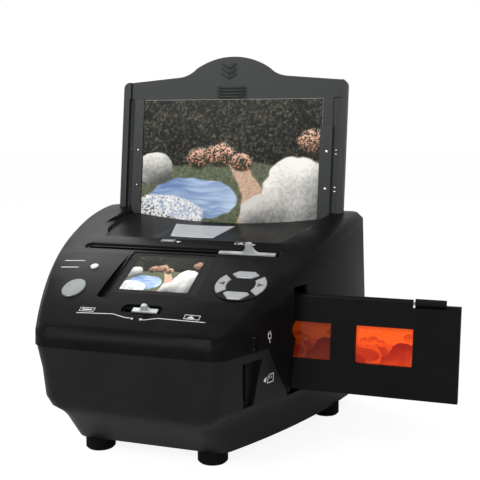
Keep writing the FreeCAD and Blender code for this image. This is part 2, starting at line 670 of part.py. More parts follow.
TRAY = tilt(0, S.tray_y, S.tray_datum, -S.lean)
HOLDER = tilt(0, -S.holder_y, S.holder_datum, -S.lean)
DISPLAY = tilt(-S.display_x, -S.display_y, S.display_height, S.display_slope)
SOCKETS = side_wall_frame(-S.socket_y, 0)
SCAN = panel_frame(-S.scan_x, -S.scan_y)
PAD = panel_frame(S.pad_x, -S.pad_y)
LAMP = panel_frame(-S.lamp_x, -S.lamp_y)
FOCUS = panel_frame(S.focus_rest, -S.focus_y)
LIGHT = panel_frame(S.light_rest, -S.light_y)

OUTER = casing_form(0.0, 0.0)
INNER = casing_form(S.wall, S.wall)
LOWER = below_seam()
COVER_SPACE = OUTER.cut(LOWER)
BASE_SPACE = casing_form(S.seam_step, 0.0).common(LOWER)


def slot_shape(half, wide, low, high):
    """A slot with round ends along x, from low to high."""
    radius = wide / 2
    middle = brick(radius - half, -radius, low, half - radius, radius, high)
    ends = [Part.makeCylinder(radius, high - low, vec(side * (half - radius), 0, low)) for side in (-1, 1)]
    return middle.multiFuse(ends).removeSplitter()


def slot_mouth(half, wide):
    """A bevel round the mouth of a slot: a stadium that grows as it rises."""
    loops = []
    for grow, level in ((0.0, -S.slot_bevel / 2), (2 * S.slot_bevel, S.slot_bevel / 2)):
        radius, reach = wide / 2 + grow, half + grow
        straight = reach - radius
        edges = [Part.LineSegment(vec(-straight, -radius, level), vec(straight, -radius, level)),
                 Part.Arc(vec(straight, -radius, level), vec(reach, 0, level), vec(straight, radius, level)),
                 Part.LineSegment(vec(straight, radius, level), vec(-straight, radius, level)),
                 Part.Arc(vec(-straight, radius, level), vec(-reach, 0, level), vec(-straight, -radius, level))]
        loops.append(Part.Wire([edge.toShape() for edge in edges]))
    return Part.makeLoft(loops, True, True)


def oval(half_wide, half_long, low, high):
    """An elliptical post from low to high, its long axis along y."""
    curve = Part.Ellipse(vec(0, half_long, low), vec(half_wide, 0, low), vec(0, 0, low))
    return Part.Face(Part.Wire(curve.toShape())).extrude(vec(0, 0, high - low))


def dish_frame():
    """A frame on the dish's floor, at its front edge."""
    front, rear = S.dish_front, S.tray_y
    start = panel_height(front) - S.dish_step
    drop = panel_height(rear) - S.dish_deep - start
    slope = math.degrees(math.atan2(drop, rear - front))
    return tilt(0, front, start, slope)


def dish_shape(margin, low):
    """The dish as a cutter: its walls flare as they rise."""
    length = S.tray_y + S.tray_thick / 2 - S.dish_front + margin
    loops = []
    for grow, height in ((margin, low), (margin + 2 * S.dish_deep, 2 * S.dish_deep)):
        front, rear = S.dish_front_half + grow, S.dish_rear_half + grow
        points = [vec(-front, -grow, height), vec(front, -grow, height),
                  vec(rear, length, height), vec(-rear, length, height)]
        loops.append(Part.makePolygon(points + [points[0]]))
    flared = Part.makeLoft(loops, True, True)
    upright = [e for e in flared.Edges if e.BoundBox.ZLength > S.dish_deep and e.CenterOfMass.y < length / 2]
    return placed(flared.makeFillet(S.dish_corner, upright), dish_frame())


def bowl_shape(margin):
    """The hollow in the dish's floor: a wide cylinder that dips towards the tray."""
    length = S.tray_y - S.dish_front
    radius = (S.bowl_half ** 2 + S.bowl_deep ** 2) / (2 * S.bowl_deep)
    dip = math.degrees(math.atan2(S.bowl_deep, length))
    axis = vec(0, math.cos(math.radians(dip)), -math.sin(math.radians(dip)))
    reach = length + 2 * S.overrun + radius * math.sin(math.radians(dip))
    hollow = Part.makeCylinder(radius + margin, reach, vec(0, 0, radius), axis)
    floor = brick(-S.dish_rear_half, 0, -2 * S.dish_deep - margin, S.dish_rear_half, length + margin, S.dish_deep)
    return placed(hollow.common(floor), dish_frame())


def screw_places():
    return [(side * x, y) for side in (-1, 1)
            for x, y in ((S.front_post_x, S.front_post_y), (S.rear_post_x, S.rear_post_y))]


def foot_places():
    return [("foot_%s_%s" % (end, side), sign * x, y) for end, x, y in
            (("front", S.front_foot_x, -S.foot_y), ("rear", S.rear_foot_x, S.foot_y)) for side, sign in SIDES]


def make_upper_cover():
    """The cover: panel, side walls and rear wall, with its flats, slots and posts."""
    cover = COVER_SPACE.cut(INNER)
    flat = brick(-S.flat_half - S.wall, -S.flat_front - S.wall, -S.wall - S.glass_thick,
                 S.flat_half + S.wall, S.flat_rear, S.display_height)
    bosses = [square_post(S.boss_radius, side * x, y, -S.board_depth, S.panel_low) for side in (-1, 1)
              for x, y in ((S.boss_front_x, -S.boss_front_y), (S.boss_rear_x, S.boss_rear_y))]
    posts = [square_post(S.post_radius, x, y, S.post_joint, S.crown_height + S.overrun) for x, y in screw_places()]
    stays = film_rail_stays(film_rail_back(S.tab_high, 1), S.crown_height)
    added = [placed(flat, DISPLAY), dish_shape(S.wall, -S.wall), bowl_shape(S.wall)]
    added += [placed(boss, DISPLAY) for boss in bosses]
    cover = cover.multiFuse([extra.common(COVER_SPACE) for extra in added + posts + stays])

    recess = brick(-S.flat_half, -S.flat_front, 0, S.flat_half, S.flat_rear, S.display_height)
    recess = recess.makeFillet(S.flat_corner, [e for e in recess.Edges if e.BoundBox.ZLength > S.flat_half])
    seat_x, seat_y, lift = S.glass_wide / 2 + S.gap, S.glass_high / 2 + S.gap, S.glass_lift
    seat = brick(-seat_x, lift - seat_y, -S.glass_thick, seat_x, lift + seat_y, S.overrun)
    hole_x, hole_y = S.active_wide / 2 + S.gap, S.active_high / 2 + S.gap
    hole = brick(-hole_x, S.active_lift - hole_y, -S.overrun, hole_x, S.active_lift + hole_y, S.overrun)
    tray_gap = brick(-S.tray_half - S.slip, -S.slip, -S.tray_bottom,
                     S.tray_half + S.slip, S.tray_thick + S.slip, S.tray_bottom)
    focus_slot = slot_shape(S.focus_half, S.focus_wide, -S.recess_deep, S.overrun)
    focus_neck = slot_shape(S.focus_half - S.neck_ends, S.neck_wide, -S.overrun, S.overrun)
    light_half = (S.light_left + S.light_right) / 2
    light_slot = slot_shape(light_half, S.light_wide, -S.recess_deep, S.overrun)
    light_neck = slot_shape(light_half - S.neck_ends, S.neck_wide, -S.overrun, S.overrun)
    light_frame = panel_frame((S.light_right - S.light_left) / 2, -S.light_y)
    focus_frame = panel_frame(S.focus_x, -S.focus_y)
    scoop_at = side_wall_frame(-S.slot_front, S.scoop_height).multVec(vec(S.scoop_radius - S.scoop_deep, 0))
    scoop = Part.makeSphere(S.scoop_radius, scoop_at)
    usb = brick(-2 * S.overrun, -S.usb_wide / 2 - S.gap, S.usb_height - S.usb_high / 2 - S.gap,
                S.overrun, S.usb_wide / 2 + S.gap, S.usb_height + S.usb_high / 2 + S.gap)
    cuts = [
        placed(recess, DISPLAY), placed(seat, DISPLAY), placed(hole, DISPLAY),
        dish_shape(0.0, 0.0), bowl_shape(0.0), placed(tray_gap, TRAY), scoop,
        placed(focus_slot, focus_frame), placed(focus_neck, focus_frame),
        placed(light_slot, light_frame), placed(light_neck, light_frame),
        placed(slot_mouth(light_half, S.light_wide), light_frame),
        placed(oval(S.scan_half_wide + S.gap, S.scan_half_long + S.gap, -S.overrun, S.overrun), SCAN),
        placed(Part.makeCylinder(S.pad_radius + S.gap, 2 * S.overrun, vec(0, 0, -S.overrun)), PAD),
        placed(Part.makeCylinder(S.lamp_radius + S.gap, 2 * S.overrun, vec(0, 0, -S.overrun)), LAMP),
        placed(usb, SOCKETS),
        brick(-S.rear_half, -S.slot_front, S.slot_low, -S.film_rail_half + S.gap, -S.slot_rear, S.slot_high),
        brick(S.film_rail_half - S.gap, -S.slot_front, S.slot_low, S.rear_half, -S.slot_rear, S.slot_high),
    ]
    cuts += [eight_sided(S.screw_radius + S.pin_fit, x, y, S.screw_sink, S.screw_sink + S.screw_length)
             for x, y in screw_places()]
    for cutter in cuts:
        cover = cover.cut(cutter)
    return feature("upper_cover", cover.removeSplitter())


def make_lower_base():
    """The base: tub with chin and sole, floor posts, stays and the card recess."""
    base = BASE_SPACE.cut(INNER)
    posts = [square_post(S.post_radius, x, y, S.foot_height, S.post_joint) for x, y in screw_places()]
    stays = film_rail_stays(-S.crown_height, film_rail_back(-S.holder_low, -1))
    rod_half = S.rod_radius + S.wall
    rod_y = -S.carriage_front + S.carriage_thick / 2
    holders = [brick(x, rod_y - rod_half, S.foot_height, x + S.rod_post, rod_y + rod_half,
                     S.rod_height + rod_half) for x in (-S.rod_left, S.rod_right - S.rod_post)]
    pocket = placed(recess_shape(S.wall), SOCKETS)
    deep = S.recess_depth + S.wall + S.card_socket_thick
    spot, radius = S.main_board_wide / 3, S.boss_radius
    ceiling = S.card_middle - S.card_high / 2 - 2 * S.gap
    bosses = [placed(brick(-deep, side * spot - radius, S.main_board_low, 0, side * spot + radius, ceiling), SOCKETS)
              for side in (-1, 1)]
    extras = [extra.common(BASE_SPACE) for extra in posts + stays + [pocket] + bosses + holders]
    base = base.multiFuse(extras)

    card = brick(-S.recess_depth - 2 * S.wall, -S.card_wide / 2, S.card_middle - S.card_high / 2,
                 -S.recess_depth + S.wall, S.card_wide / 2, S.card_middle + S.card_high / 2)
    cuts = [placed(recess_shape(0.0), SOCKETS), placed(card, SOCKETS)]
    cuts += [eight_sided(S.screw_radius + S.gap, x, y, 0, S.post_joint + S.gap) for x, y in screw_places()]
    cuts += [eight_sided(S.screw_head + S.gap, x, y, 0, S.screw_sink) for x, y in screw_places()]
    cuts += [square_post(S.foot_stub + S.gap, x, y, 0, S.foot_height + S.overrun) for _, x, y in foot_places()]
    cuts.append(Part.makeCylinder(S.rod_radius + S.pin_fit, S.rod_left + S.rod_right,
                                  vec(-S.rod_left, rod_y, S.rod_height), vec(1, 0, 0)))
    for cutter in cuts:
        base = base.cut(cutter)
    return feature("lower_base", base.removeSplitter())


def recess_shape(margin):
    """The card recess: wide at the top, narrow at the bottom, in the wall's frame."""
    low, high = S.recess_bottom - margin, S.recess_top + margin
    deep = S.recess_depth + margin
    points = [vec(-deep, -S.recess_bottom_wide / 2 - margin, low), vec(-deep, S.recess_bottom_wide / 2 + margin, low),
              vec(-deep, S.recess_top_wide / 2 + margin, high), vec(-deep, -S.recess_top_wide / 2 - margin, high)]
    return prism(points, vec(deep + S.overrun, 0, 0))


def film_rail_back(edge, side):
    """Height of a film rail's outer face, in the holder's frame."""
    return edge + side * (S.slip + S.film_rail_wall)


def film_rail_stays(low, high):
    """Two stays that hold a film rail, leaning as the holder does."""
    front, rear = -S.slip - S.film_rail_wall, 2 * S.leaf_thick + S.slip + S.film_rail_wall
    return [placed(brick(side * S.rail_stay_x - S.rail_stay / 2, front, low,
                         side * S.rail_stay_x + S.rail_stay / 2, rear, high), HOLDER) for side in (-1, 1)]


def film_rail(label, edge, side):
    """A channel that the holder's edge runs in; side is 1 above the holder, -1 below."""
    front, rear = -S.slip, 2 * S.leaf_thick + S.slip
    floor = edge + side * S.slip
    back = film_rail_back(edge, side)
    lip = edge - side * S.film_rail_grip
    wall = S.film_rail_wall
    points = [(front - wall, back), (rear + wall, back), (rear + wall, lip), (rear, lip),
              (rear, floor), (front, floor), (front, lip), (front - wall, lip)]
    channel = prism([vec(-S.film_rail_half, y, z) for y, z in points], vec(2 * S.film_rail_half, 0, 0))
    return feature(label, channel, HOLDER)


def tray_rail(label, side):
    """A channel for one edge of the tray; it stands on the floor of the base."""
    half, wall, deep = S.tray_half + S.slip, S.tray_rail_wall, S.tray_rail_deep
    front, rear = -S.slip, S.tray_thick + S.slip
    points = [(half + wall, front - wall), (half + wall, rear + wall), (half - deep, rear + wall),
              (half - deep, rear), (half, rear), (half, front), (half - deep, front), (half - deep, front - wall)]
    long = S.tray_datum
    channel = prism([vec(side * x, y, -long) for x, y in points], vec(0, 0, long - S.tray_rail_top))
    channel = placed(channel, TRAY)
    floor = S.foot_height + S.wall
    far = S.rear_half + S.overrun
    return feature(label, channel.cut(brick(-far, -far, -far, far, far, floor)))


def make_foot(label, x, y):
    """A rubber foot with a stub that plugs into the base."""
    piece = Piece(label, FreeCAD.Placement(vec(x, y, 0), FreeCAD.Rotation()))
    sketch = piece.sketch("XZ_Plane")
    loop(sketch, [
        ("0", "0"),
        ("foot_radius - foot_edge", "0"),
        ("foot_radius", "foot_edge"),
        ("foot_radius", "foot_height"),
        ("0", "foot_height"),
    ])
    piece.revolve(sketch)
    sketch = piece.sketch("XY_Plane", "foot_height")
    rectangle(sketch, "-foot_stub", "-foot_stub", "foot_stub", "foot_stub")
    piece.add("Pad", sketch, "wall + foot_edge")
    return piece.body


def make_casing_screws():
    """Four screws that come up through the base into the cover's posts."""
    screws = []
    for x, y in screw_places():
        shank = eight_sided(S.screw_radius, x, y, S.screw_sink, S.screw_sink + S.screw_length - S.gap)
        head = eight_sided(S.screw_head, x, y, S.screw_sink - S.screw_head_depth, S.screw_sink)
        screws.append(shank.fuse(head))
    return feature("casing_screws", Part.makeCompound(screws))


def make_tray_frame():
    """The photo tray: a plate with a hump to hold it by and a pocket for a print."""
    piece = Piece("tray_frame", TRAY)
    hump = "(tray_neck_x ^ 2 + (tray_crown - tray_neck) ^ 2) / (2 * (tray_crown - tray_neck))"
    sketch = piece.sketch("XZ_Plane")
    loop(sketch, [
        ("-tray_half", "-tray_bottom"),
        ("tray_half", "-tray_bottom"),
        ("tray_half", "tray_corner - tray_corner_radius", "tray_corner_radius", 1),
        ("tray_half - tray_corner_radius", "tray_corner"),
        ("tray_shoulder_x", "tray_shoulder", "tray_neck_radius", -1),
        ("tray_neck_x", "tray_neck", hump, 1),
        ("-tray_neck_x", "tray_neck", "tray_neck_radius", -1),
        ("-tray_shoulder_x", "tray_shoulder"),
        ("-tray_half + tray_corner_radius", "tray_corner", "tray_corner_radius", 1),
        ("-tray_half", "tray_corner - tray_corner_radius"),
    ])
    piece.add("Pad", sketch, "tray_thick", back=True)
    sketch = piece.sketch("XZ_Plane")
    loop(sketch, [
        ("-photo_pocket_half", "photo_pocket_top - photo_pocket_high"),
        ("photo_pocket_half", "photo_pocket_top - photo_pocket_high"),
        ("photo_pocket_half", "pocket_jog_low"),
        ("photo_pocket_half + pocket_jog", "pocket_jog_high"),
        ("photo_pocket_half + pocket_jog", "tray_crown + overrun"),
        ("-photo_pocket_half", "tray_crown + overrun"),
    ])
    piece.add("Pocket", sketch, "photo_pocket_deep")
    bottom = "photo_pocket_top - photo_pocket_high"
    sketch = piece.sketch("XZ_Plane", "-photo_pocket_deep - slit_web")
    for side in ("-slit_x", "peg_slot_x"):
        rectangle(sketch, side + " - slit_relief / 2", bottom, side + " + slit_relief / 2", "slit_top + slit_wide")
    piece.add("Pocket", sketch, "tray_thick", back=True)
    sketch = piece.sketch("XZ_Plane")
    ends = [(bottom + " + slit_bridge", "bridge_low"), ("bridge_low + slit_bridge", "bridge_high"),
            ("bridge_high + slit_bridge", "slit_top")]
    for low, high in ends:
        rectangle(sketch, "-slit_x - slit_wide / 2", low, "-slit_x + slit_wide / 2", high)
    for place in ("guide_hole_high", "guide_hole_low"):
        for shift in ("- peg_slot_apart / 2", "+ peg_slot_apart / 2"):
            middle = "%s %s" % (place, shift)
            rectangle(sketch, "peg_slot_x - peg_slot_wide / 2", middle + " - peg_slot_high / 2",
                      "peg_slot_x + peg_slot_wide / 2", middle + " + peg_slot_high / 2")
    piece.add("Pocket", sketch, "tray_thick")
    return piece.body


def make_photo_guide(label, side):
    """A strip in the tray's pocket beside the print; the right one has a lip over its edge."""
    piece = Piece(label, TRAY)
    bottom = "photo_pocket_top - photo_pocket_high"
    inner, edge, outer = "photo_half - guide_lip", "photo_half + gap", "guide_half"
    sign, top = ("", "guide_top") if side > 0 else ("-1 * ", "fixed_guide_top")
    face = "guide_lip_thick / 2" if side > 0 else "guide_lip_thick"
    sketch = piece.sketch("XZ_Plane", "-(%s)" % face)
    rectangle(sketch, sign + "(%s)" % edge, bottom, sign + "(%s)" % outer, top)
    piece.add("Pad", sketch, "photo_pocket_deep - " + face, back=True)
    if side > 0:
        sketch = piece.sketch("XZ_Plane", "-" + face)
        rectangle(sketch, inner, bottom, outer, top)
        piece.add("Pad", sketch, "guide_lip_thick", back=True)
    sketch = piece.sketch("XZ_Plane")
    for place in ("guide_hole_high", "guide_hole_low"):
        circle(sketch, sign + "(%s + %s) / 2" % (edge, outer), place, "guide_hole")
    piece.add("Pocket", sketch, "photo_pocket_deep")
    return piece.body


def make_photo_print():
    """A 4 by 6 inch print that lies on the pocket's floor."""
    piece = Piece("photo_print", TRAY)
    sketch = piece.sketch("XZ_Plane", "-photo_pocket_deep + photo_thick")
    rectangle(sketch, "-photo_half", "photo_top - photo_high", "photo_half", "photo_top")
    piece.add("Pad", sketch, "photo_thick", back=True)
    return piece.body


def knuckle(first, last, bore):
    """A hinge knuckle round the pin, between two places along the holder."""
    axis = vec(first, S.leaf_thick, S.hinge_axis)
    barrel = Part.makeCylinder(S.hinge_radius, last - first, axis, vec(1, 0, 0))
    return barrel if bore is None else barrel.cut(Part.makeCylinder(bore, last - first, axis, vec(1, 0, 0)))


def hinge_bore():
    """The hole for the hinge pin, blind in the finger tab."""
    first = S.holder_left
    return Part.makeCylinder(S.pin_radius + S.pin_fit, S.tab_left + S.pin_end + S.gap - first,
                             vec(first, S.leaf_thick, S.hinge_axis), vec(1, 0, 0))


def hinge_spans():
    """Where the knuckles stand: base, lid, and the base again at the finger tab."""
    return [(S.holder_left + S.leaf_thick, S.hinge_split - S.knuckle_gap),
            (S.hinge_split, S.hinge_right), (S.tab_left, S.tab_right)]


def slide_centres():
    return [S.slide_first + i * S.slide_pitch for i in range(3)]


def leaf_with_windows(y0, y1, top):
    """One half of the holder as a plate with its three windows."""
    plate = brick(S.holder_left, y0, -S.holder_low, S.holder_right, y1, top)
    for x in slide_centres():
        plate = plate.cut(brick(x - S.window_wide / 2, y0 - S.overrun, -S.slide_middle - S.window_high / 2,
                                x + S.window_wide / 2, y1 + S.overrun, -S.slide_middle + S.window_high / 2))
    return plate


def make_holder_base():
    """Rear half of the holder: seats for the slides, hinge knuckles, finger tab."""
    thick = S.leaf_thick
    plate = leaf_with_windows(thick, 2 * thick, S.leaf_high)
    strip = brick(S.tab_right, thick, 0, S.holder_right, 2 * thick, S.holder_high)
    tab = brick(S.tab_left, thick, 0, S.tab_right, 2 * thick, S.tab_high)
    plate = plate.multiFuse([strip, tab])
    half = S.slide_mount / 2 + S.gap
    for x in slide_centres():
        seat = brick(x - half, 0, -S.slide_middle - half, x + half, thick + S.slide_thick, -S.slide_middle + half)
        plate = plate.cut(seat)
    for first, last in hinge_spans()[::2]:
        web = brick(first, thick, S.leaf_high, last, 2 * thick, S.hinge_axis)
        plate = plate.fuse(web).fuse(knuckle(first, last, None))
    bore = hinge_bore()
    for first, last in hinge_spans()[1::2]:
        room = S.hinge_radius + S.gap
        plate = plate.cut(brick(first - S.knuckle_gap, 0, S.hinge_axis - room, last + S.knuckle_gap,
                                2 * thick + S.overrun, S.hinge_axis + room))
    return feature("holder_base", plate.cut(bore).removeSplitter(), HOLDER)


def make_holder_lid():
    """Front half of the holder: a leaf that opens on the hinge along its top."""
    thick = S.leaf_thick
    plate = leaf_with_windows(0, thick, S.leaf_high)
    plate = plate.fuse(brick(S.tab_right, 0, 0, S.holder_right, thick, S.holder_high))
    room = S.hinge_radius + S.gap
    for first, last in hinge_spans()[::2]:
        plate = plate.cut(brick(first - S.knuckle_gap, -S.overrun, S.hinge_axis - room,
                                last + S.knuckle_gap, thick, S.hinge_axis + room))
    for first, last in hinge_spans()[1::2]:
        web = brick(first, 0, S.leaf_high, last, thick, S.hinge_axis)
        plate = plate.fuse(web).fuse(knuckle(first, last, None))
    return feature("holder_lid", plate.cut(hinge_bore()).removeSplitter(), HOLDER)


def make_holder_pin():
    """The steel pin through the holder's knuckles."""
    first, last = hinge_spans()[0][0], S.tab_left + S.pin_end
    pin_shape = Part.makeCylinder(S.pin_radius, last - first, vec(first, S.leaf_thick, S.hinge_axis), vec(1, 0, 0))
    return feature("holder_pin", pin_shape, HOLDER)


def make_slide_mount(label, x):
    """A plastic slide mount with its picture opening and the film's seat behind."""
    piece = Piece(label, HOLDER)
    centre, low = "%s" % x, "-slide_middle"
    half = "slide_mount / 2"
    sketch = piece.sketch("XZ_Plane", "-leaf_thick")
    rectangle(sketch, centre + " - " + half, low + " - " + half, centre + " + " + half, low + " + " + half)
    rectangle(sketch, centre + " - frame_wide / 2", low + " - frame_high / 2",
              centre + " + frame_wide / 2", low + " + frame_high / 2")
    piece.add("Pad", sketch, "slide_thick", back=True)
    sketch = piece.sketch("XZ_Plane", "-leaf_thick - slide_thick / 2")
    rectangle(sketch, centre + " - frame_wide / 2 - film_margin", low + " - frame_high / 2 - film_margin",
              centre + " + frame_wide / 2 + film_margin", low + " + frame_high / 2 + film_margin")
    piece.add("Pocket", sketch, "slide_thick / 2")
    return piece.body


def make_film_chip(label, x):
    """One frame of negative film, in the seat of its mount."""
    piece = Piece(label, HOLDER)
    sketch = piece.sketch("XZ_Plane", "-leaf_thick - slide_thick / 2")
    reach_x, reach_z = "frame_wide / 2 + film_margin - gap", "frame_high / 2 + film_margin - gap"
    rectangle(sketch, "%s - (%s)" % (x, reach_x), "-slide_middle - (%s)" % reach_z,
              "%s + %s" % (x, reach_x), "-slide_middle + %s" % reach_z)
    piece.add("Pad", sketch, "film_thick", back=True)
    return piece.body


def make_display_window():
    """The clear window over the display."""
    piece = Piece("lcd_window", DISPLAY)
    sketch = piece.sketch("XY_Plane", "-glass_thick")
    rectangle(sketch, "-glass_wide / 2", "glass_lift - glass_high / 2", "glass_wide / 2", "glass_lift + glass_high / 2")
    piece.add("Pad", sketch, "glass_thick")
    return piece.body


def make_display_module():
    """The display in its frame, between the cover's ledge and the control board."""
    piece = Piece("lcd_module", DISPLAY)
    top = "-glass_thick - wall"
    sketch = piece.sketch("XY_Plane", top + " - gap / 3 - (board_depth - glass_thick - wall - gap / 3)")
    rectangle(sketch, "-module_half", "-module_front", "module_half", "module_rear")
    piece.add("Pad", sketch, "board_depth - glass_thick - wall - gap / 3")
    sketch = piece.sketch("XY_Plane", top + " - gap / 3")
    rectangle(sketch, "-active_wide / 2", "active_lift - active_high / 2",
              "active_wide / 2", "active_lift + active_high / 2")
    piece.add("Pad", sketch, "wall")
    return piece.body


def make_control_board():
    """The board under the panel that carries the display, the switches and the lamp."""
    piece = Piece("control_board", DISPLAY)
    sketch = piece.sketch("XY_Plane", "-board_depth - board_thick")
    loop(sketch, [("-board_front_half", "-board_front"), ("board_front_half", "-board_front"),
                  ("board_rear_half", "board_rear"), ("-board_rear_half", "board_rear")])
    piece.add("Pad", sketch, "board_thick")
    return piece.body


def board_drop(frame):
    """How far the control board lies below a place on the panel, along its normal."""
    local = DISPLAY.inverse().multiply(frame)
    down = local.Rotation.multVec(vec(0, 0, -1))
    return (local.Base.z + S.board_depth) / -down.z


def board_spot(frame):
    """Where the normal of a place on the panel meets the control board."""
    local = DISPLAY.inverse().multiply(frame)
    down = local.Rotation.multVec(vec(0, 0, -1))
    return local.Base + down * ((local.Base.z + S.board_depth) / -down.z)


def key_frame(turn):
    """A key's frame: the disc's, turned about its own normal."""
    return PAD.multiply(FreeCAD.Placement(vec(0, 0), FreeCAD.Rotation(vec(0, 0, 1), turn)))


KEYS = (("mode_button", 0), ("left_button", 90), ("enter_button", 180), ("right_button", 270))
# Outlines of the upper and the lower key: half widths and distances from the disc's
# middle, as shares of the keys' outer radius.
KEY_SHARES = {
    0: ((0.28, 0.48), (0.55, 0.71), (0.33, 0.93)),
    180: ((0.41, 0.48), (0.52, 0.61), (0.24, 0.96)),
}


def key_centre(turn):
    """A frame at the middle of one key."""
    middle = (S.key_inner + S.key_radius) / 2
    return key_frame(turn).multiply(FreeCAD.Placement(vec(0, middle), FreeCAD.Rotation()))


def make_tact_switches():
    """Five switches on the control board, each under the stem of its button."""
    switches = []
    for frame in [SCAN] + [key_centre(turn) for _, turn in KEYS]:
        spot = board_spot(frame)
        half = S.switch_side / 2
        body = brick(-half, -half, 0, half, half, S.switch_high)
        plunger = square_post(S.plunger_radius, 0, 0, 0, S.switch_high + S.plunger_high)
        shape = body.fuse(plunger)
        shape.translate(spot)
        switches.append(placed(shape, DISPLAY))
    return feature("tact_switches", Part.makeCompound(switches))


def stem(frame, top):
    """A button's stem, down to just above its switch."""
    bottom = -board_drop(frame) + S.switch_high + S.plunger_high + S.key_travel + S.gap / 2
    return square_post(S.key_stem, 0, 0, bottom, top)


def make_scan_button():
    """The large oval button."""
    crown = oval(S.scan_half_wide, S.scan_half_long, -S.wall - S.gap, S.key_rise)
    crown = crown.makeChamfer(S.key_rise / 2, [e for e in crown.Edges if e.CenterOfMass.z > S.key_rise / 2])
    half, long = S.scan_half_wide + S.key_flange, S.scan_half_long - S.key_flange
    flange = brick(-half, -long, -S.wall - S.gap - S.key_flange, half, long, -S.wall - S.gap)
    shape = crown.fuse(flange).fuse(stem(SCAN, -S.wall - S.gap))
    return feature("scan_button", shape.removeSplitter(), SCAN)


def crescent(grow):
    """A side key's outline: two arcs with slanting ends."""
    radius, inner, split = S.key_radius + grow, S.key_inner - grow, S.key_split - grow * math.sqrt(2)
    reach = (split + math.sqrt(2 * radius ** 2 - split ** 2)) / 2
    corners = [vec(split - inner, inner), vec(inner - split, inner), vec(reach - split, reach), vec(split - reach, reach)]
    edges = [Part.Arc(corners[0], vec(0, inner + S.key_hollow), corners[1]), Part.LineSegment(corners[1], corners[2]),
             Part.Arc(corners[2], vec(0, radius), corners[3]), Part.LineSegment(corners[3], corners[0])]
    return Part.Face(Part.Wire([edge.toShape() for edge in edges]))


def key_shape(turn, grow, low, high):
    """A key's body between two levels, its outline grown by a margin."""
    if turn in KEY_SHARES:
        right = [vec(x * S.key_radius, y * S.key_radius) for x, y in KEY_SHARES[turn]]
        points = right + [vec(-p.x, p.y) for p in reversed(right)]
        face = Part.Face(Part.makePolygon(points + [points[0]]))
        if grow:
            face = face.makeOffset2D(grow, join=2)
    else:
        face = crescent(grow)
    face.translate(vec(0, 0, low))
    return face.extrude(vec(0, 0, high - low))


DISC_SEAT = -S.wall - 2 * S.gap


def make_keypad_disc():
    """The dark disc that the four keys stand in."""
    disc = Part.makeCylinder(S.pad_radius, S.gap - DISC_SEAT, vec(0, 0, DISC_SEAT))
    flange = Part.makeCylinder(S.pad_radius + S.key_flange, S.key_flange, vec(0, 0, DISC_SEAT - S.key_flange))
    disc = disc.fuse(flange)
    for _, turn in KEYS:
        hole = key_shape(turn, S.gap, -S.overrun, S.overrun)
        disc = disc.cut(placed(hole, FreeCAD.Placement(vec(0, 0), FreeCAD.Rotation(vec(0, 0, 1), turn))))
    return feature("keypad_disc", disc.removeSplitter(), PAD)


def make_key(label, turn):
    """One of the four keys, with a flange behind the disc and a stem."""
    below = DISC_SEAT - S.key_flange - S.gap
    top = key_shape(turn, 0.0, below, S.key_rise)
    rim = [e for e in top.Edges if e.BoundBox.ZLength < S.gap and e.CenterOfMass.z > S.key_rise / 2]
    top = top.makeChamfer(S.key_rise / 2, rim)
    middle = (S.key_inner + S.key_radius) / 2
    flange = key_shape(turn, S.key_flange, below - S.key_flange, below)
    post = stem(key_centre(turn), below)
    post.translate(vec(0, middle))
    return feature(label, top.multiFuse([flange, post]).removeSplitter(), key_frame(turn))


def make_indicator():
    """The indicator: a clear lens in the panel and its lamp on the board."""
    drop = board_drop(LAMP)
    lens = Part.makeCylinder(S.lamp_radius, S.wall + S.key_rise, vec(0, 0, -S.wall))
    lens = lens.makeChamfer(S.key_rise / 2, [e for e in lens.Edges if e.CenterOfMass.z > 0 and e.Closed])
    flange = square_post(S.lamp_radius + S.key_flange, 0, 0, -S.wall - S.key_flange - S.gap, -S.wall - S.gap)
    neck = square_post(S.lamp_radius / 2, 0, 0, -S.wall - S.gap, 0)
    feature("indicator_lens", lens.multiFuse([flange, neck]).removeSplitter(), LAMP)
    high = drop - S.wall - S.key_flange - 2 * S.gap
    half = S.led_side / 2
    lamp = brick(-half, -half, 0, half, half, high)
    lamp.translate(board_spot(LAMP))
    feature("indicator_led", lamp, DISPLAY)


# Where a finger tab's flank bends, as shares of its taper and of its height.
TAB_BEND = (0.20, 0.36)


def lever_shape(left, right, root, tip, high, reach):
    """A slider's top piece: strip in the slot, flared finger tab, stem below."""
    floor = -S.recess_deep + S.slip / 2
    strip = brick(-left, -S.strip_wide / 2, floor, right, S.strip_wide / 2, floor + S.strip_thick)
    half = S.tab_thick / 2
    top = floor + S.strip_thick
    bend_x, bend_z = tip + TAB_BEND[0] * (root - tip), top + TAB_BEND[1] * (high - top)
    edges = [Part.LineSegment(vec(-root, -half, floor), vec(root, -half, floor)),
             Part.LineSegment(vec(root, -half, floor), vec(root, -half, top)),
             Part.Arc(vec(root, -half, top), vec(bend_x, -half, bend_z), vec(tip, -half, high)),
             Part.Arc(vec(tip, -half, high), vec(0, -half, high + tip / 3), vec(-tip, -half, high)),
             Part.Arc(vec(-tip, -half, high), vec(-bend_x, -half, bend_z), vec(-root, -half, top)),
             Part.LineSegment(vec(-root, -half, top), vec(-root, -half, floor))]
    tab = Part.Face(Part.Wire([edge.toShape() for edge in edges])).extrude(vec(0, S.tab_thick, 0))
    neck = brick(-tip, -half, -reach, tip, half, floor)
    return strip.multiFuse([tab, neck]).removeSplitter()


def shoe(half, frame_wide):
    """A plate that slides along the underside of the panel."""
    top = -S.wall - S.slip
    return brick(-half, -frame_wide, top - 2 * S.strip_thick, half, frame_wide, top)


